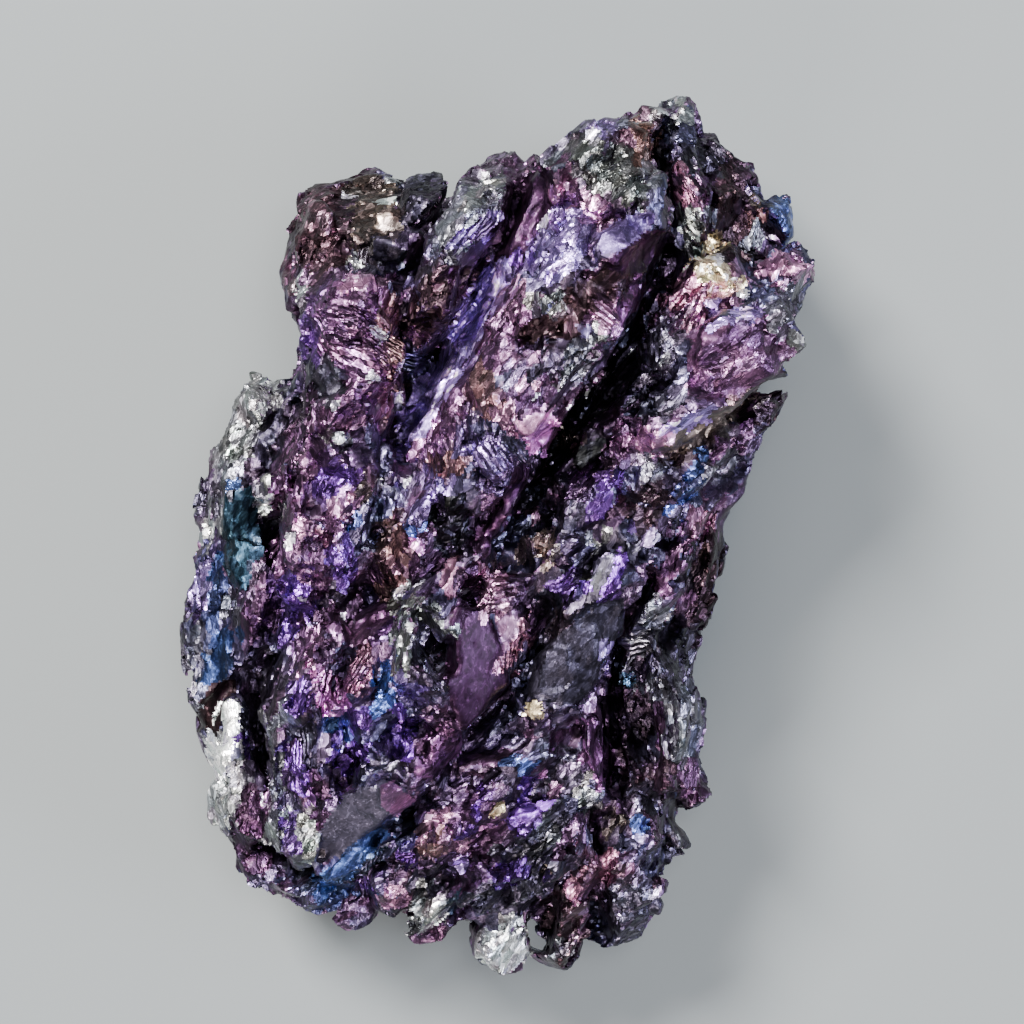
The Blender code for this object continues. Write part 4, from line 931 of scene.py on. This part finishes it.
# Crumples 0.3 mm apart run over the scales, and growth lines 0.32 mm apart over the striated ones.
creased = add_node("VectorMath", {"operation": "MULTIPLY", 1: (1 / 0.8, 1 / 0.3, 1 / 0.3)},
                   {0: swayed})
crumples = add_node("TexNoise", {"Scale": 1.0, "Detail": 2}, {"Vector": creased})
fold = add_node("Math", {"operation": "SUBTRACT", 1: 0.5}, {0: crumples.outputs["Fac"]})
ridge = add_node("Math", {"operation": "ABSOLUTE"}, {0: fold})
crumpled = add_node("Math", {"operation": "MULTIPLY", 1: 0.12}, {0: ridge})
parts = add_node("SeparateXYZ", {}, {0: swayed})
wave = add_node("Math", {"operation": "PINGPONG", 1: 0.16}, {0: parts.outputs["Y"]})
ruled = add_node("Math", {"operation": "MULTIPLY"}, {0: wave, 1: kept_on["striated"]})
height = add_node("Math", {"operation": "MULTIPLY_ADD", 1: 0.7}, {0: ruled, 2: crumpled})
bumps = add_node("Bump", {"Distance": 0.001}, {"Height": height, "Strength": calm})
lean_size = add_node("Math", {"operation": "MULTIPLY", 1: 0.25}, {0: calm})
leaning = add_node("VectorMath", {"operation": "SCALE"}, {0: lean, "Scale": lean_size})
swell = add_node("VectorMath", {"operation": "SUBTRACT", 1: (0.5,) * 3},
                 {0: crumples.outputs["Color"]})
swelling = add_node("VectorMath", {"operation": "SCALE"}, {0: swell, "Scale": lean_size})
rolled = add_node("VectorMath", {"operation": "ADD"}, {0: bumps, 1: swelling})
leant = add_node("VectorMath", {"operation": "ADD"}, {0: rolled, 1: leaning})
facing = add_node("VectorMath", {"operation": "NORMALIZE"}, {0: leant})
# Painted shade darkens the rims, the steps between crystals and the clefts.
crease_shade = add_node("Math", {"operation": "MULTIPLY_ADD", 1: -0.3, 2: 1.0, "use_clamp": True},
                {0: kept_on["pit"]})
deep = add_node("MapRange", {"From Min": -1.0, "From Max": 0.1, "To Min": 0.75, "To Max": 1.0},
                {"Value": kept_on["proud"]})
crease_and_cleft_shade = add_node("Math", {"operation": "MULTIPLY"}, {0: crease_shade, 1: deep})
# Painted shade in the cracks: each scale's rim is darkened, least on faces that grew flat.
rim_dark = add_node("Math", {"operation": "MULTIPLY_ADD", 1: -0.8, 2: 1.0}, {0: calm})
rim_shade = add_node("MapRange", {"From Max": 0.08}, {"Value": scale_edge, "To Min": rim_dark})
# Painted highlight: just inside each rim a scale is painted lighter, as its edge catches the light,
# least on faces that grew flat.
edge_highlight_peak = add_node("Math", {"operation": "MULTIPLY_ADD", 1: 0.5, 2: 1.0}, {0: calm})
edge_highlight = add_node("MapRange", {"From Min": 0.08, "From Max": 0.2, "To Max": 0.85},
                {"Value": scale_edge, "To Min": edge_highlight_peak})
rim_look = add_node("Math", {"operation": "MULTIPLY"}, {0: rim_shade, 1: edge_highlight})
shade = add_node("Math", {"operation": "MULTIPLY"}, {0: crease_and_cleft_shade, 1: rim_look})
# Each scale's tone differs by chance, and the rarest few are painted up to five times brighter, as
# painted highlights where a scale flashes; faces that grew flat keep an even tone.
uneven = add_node("Math", {"operation": "POWER", 1: 6.0}, {0: scale_chance.outputs["X"]})
unevenness = add_node("Math", {"operation": "MULTIPLY"}, {0: uneven, 1: calm})
tone_and_flash = add_node("MapRange", {"To Min": 0.8, "To Max": 5.0}, {"Value": unevenness})
shaded = add_node("Math", {"operation": "MULTIPLY"}, {0: shade, 1: tone_and_flash})
# Painted highlights: the crests of the crumples are painted bright, and specks 0.1 mm across are
# painted as glints on the smooth faces.
crest_highlight = add_node("MapRange", {"From Max": 0.02, "To Min": 2.2, "To Max": 1.0}, {"Value": ridge})
speck = add_node("TexVoronoi", {"Scale": 1 / 0.1}, {"Vector": kept_on["grain"]})
speck_chance = add_node("SeparateXYZ", {}, {0: speck.outputs["Color"]})
glint = add_node("MapRange", {"From Min": 0.93, "From Max": 0.97, "To Min": 1.0, "To Max": 2.2},
                 {"Value": speck_chance.outputs["X"]})
lit = add_node("Math", {"operation": "MULTIPLY"}, {0: crest_highlight, 1: glint})
toned = add_node("Math", {"operation": "MULTIPLY"}, {0: shaded, 1: lit})
base = add_node("VectorMath", {"operation": "SCALE"}, {0: kept_on["tint"], "Scale": toned})
polish = add_node("MapRange", {"To Min": 0.17, "To Max": 0.4}, {"Value": scale_chance.outputs["Y"]})
roughness = add_node("Math", {"operation": "MULTIPLY_ADD", 1: 0.25},
                     {0: kept_on["dull"], 2: polish})
metal = add_node("BsdfPrincipled", {"Metallic": 1.0, "Coat Weight": 0.04, "Coat Roughness": 0.25},
                 {"Base Color": base, "Roughness": roughness, "Normal": facing,
                  "Coat Normal": facing})
add_node("OutputMaterial", {}, {"Surface": metal})

# The rock is parted across its length into closed lengths, only to keep each file small.
CREASE_ANGLE = 28
ends = [None, *cuts, None]
whole = bmesh.new()
whole.from_mesh(rock.data)
bmesh.ops.scale(whole, vec=(0.001, 0.001, 0.001), verts=whole.verts)
for name, start, stop in zip(PART_NAMES, ends[:-1], ends[1:]):
    length = whole.copy()
    for place, facing_out in ((start, -1), (stop, 1)):
        if place is None:
            continue
        cut = bmesh.ops.bisect_plane(
            length, geom=length.verts[:] + length.edges[:] + length.faces[:], dist=1e-9,
            plane_co=(0, place * 0.001, 0), plane_no=(0, facing_out, 0), clear_outer=True)
        rim_edges = [part for part in cut["geom_cut"] if isinstance(part, bmesh.types.BMEdge)]
        caps = bmesh.ops.holes_fill(length, edges=rim_edges, sides=0)["faces"]
        bmesh.ops.triangulate(length, faces=caps, quad_method="BEAUTY", ngon_method="EAR_CLIP")
    mesh = bpy.data.meshes.new(name)
    bmesh.ops.recalc_face_normals(length, faces=length.faces[:])
    length.to_mesh(mesh)
    length.free()
    mesh.materials.clear()
    mesh.materials.append(tarnish)
    mesh.shade_smooth()
    mesh.set_sharp_from_angle(angle=math.radians(CREASE_ANGLE))
    piece = bpy.data.objects.new(name, mesh)
    bpy.context.scene.collection.objects.link(piece)
    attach(piece, "root")
    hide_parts("chalcocite_specimen")
whole.free()
bpy.data.objects.remove(rock)

# The floor: a plain pale sheet of matt paper that runs past the view. The specimen lies on it by
# its own weight.
floor_shape = bmesh.new()
bmesh.ops.create_grid(floor_shape, x_segments=1, y_segments=1, size=0.6)
floor_mesh = bpy.data.meshes.new("floor")
floor_shape.to_mesh(floor_mesh)
floor_shape.free()
paper = bpy.data.materials.new("matt_grey_paper")
paper.use_nodes = True
paper_shader = paper.node_tree.nodes["Principled BSDF"]
paper_shader.inputs["Base Color"].default_value = linear("#4c5153")
paper_shader.inputs["Roughness"].default_value = 0.8
floor_mesh.materials.append(paper)
floor = bpy.data.objects.new("floor", floor_mesh)
bpy.context.scene.collection.objects.link(floor)

# The light: a bright window-like panel at the upper left, a few weaker ones for the glints, and
# an even room round them.
PANEL_WIDTH = 0.15
for name, place, power, light_colour in (
    ("key_panel", (-0.2, 0.24, 0.38), 17.1, "#fff9f4"),
    ("side_panel", (0.34, -0.05, 0.22), 3.0, "#e8ecff"),
    ("front_panel", (-0.1, -0.34, 0.26), 3.0, "#fff4ea"),
    ("top_panel", (0.06, 0.05, 0.5), 4.0, "#ffffff"),
):
    data = bpy.data.lights.new(name, "AREA")
    data.shape = "SQUARE"
    data.size = PANEL_WIDTH
    data.energy = power
    data.color = linear(light_colour)[:3]
    lamp = bpy.data.objects.new(name, data)
    lamp.location = place
    lamp.rotation_euler = (-lamp.location).to_track_quat("-Z", "Y").to_euler()
    bpy.context.scene.collection.objects.link(lamp)
room = bpy.data.worlds.new("room")
room.use_nodes = True
room_light = room.node_tree.nodes["Background"]
room_light.inputs["Color"].default_value = linear("#c0bfc2")
room_light.inputs["Strength"].default_value = 1.1
bpy.context.scene.world = room

# The camera looks straight down from the point that the map is drawn from, as the photograph
# looks at the specimen's face.
view = bpy.data.cameras.new("camera")
view.lens = 130
view.sensor_width = 36
camera = bpy.data.objects.new("camera", view)
camera.location = [part / 1000 for part in VIEW_POINT]
bpy.context.scene.collection.objects.link(camera)
bpy.context.scene.camera = camera
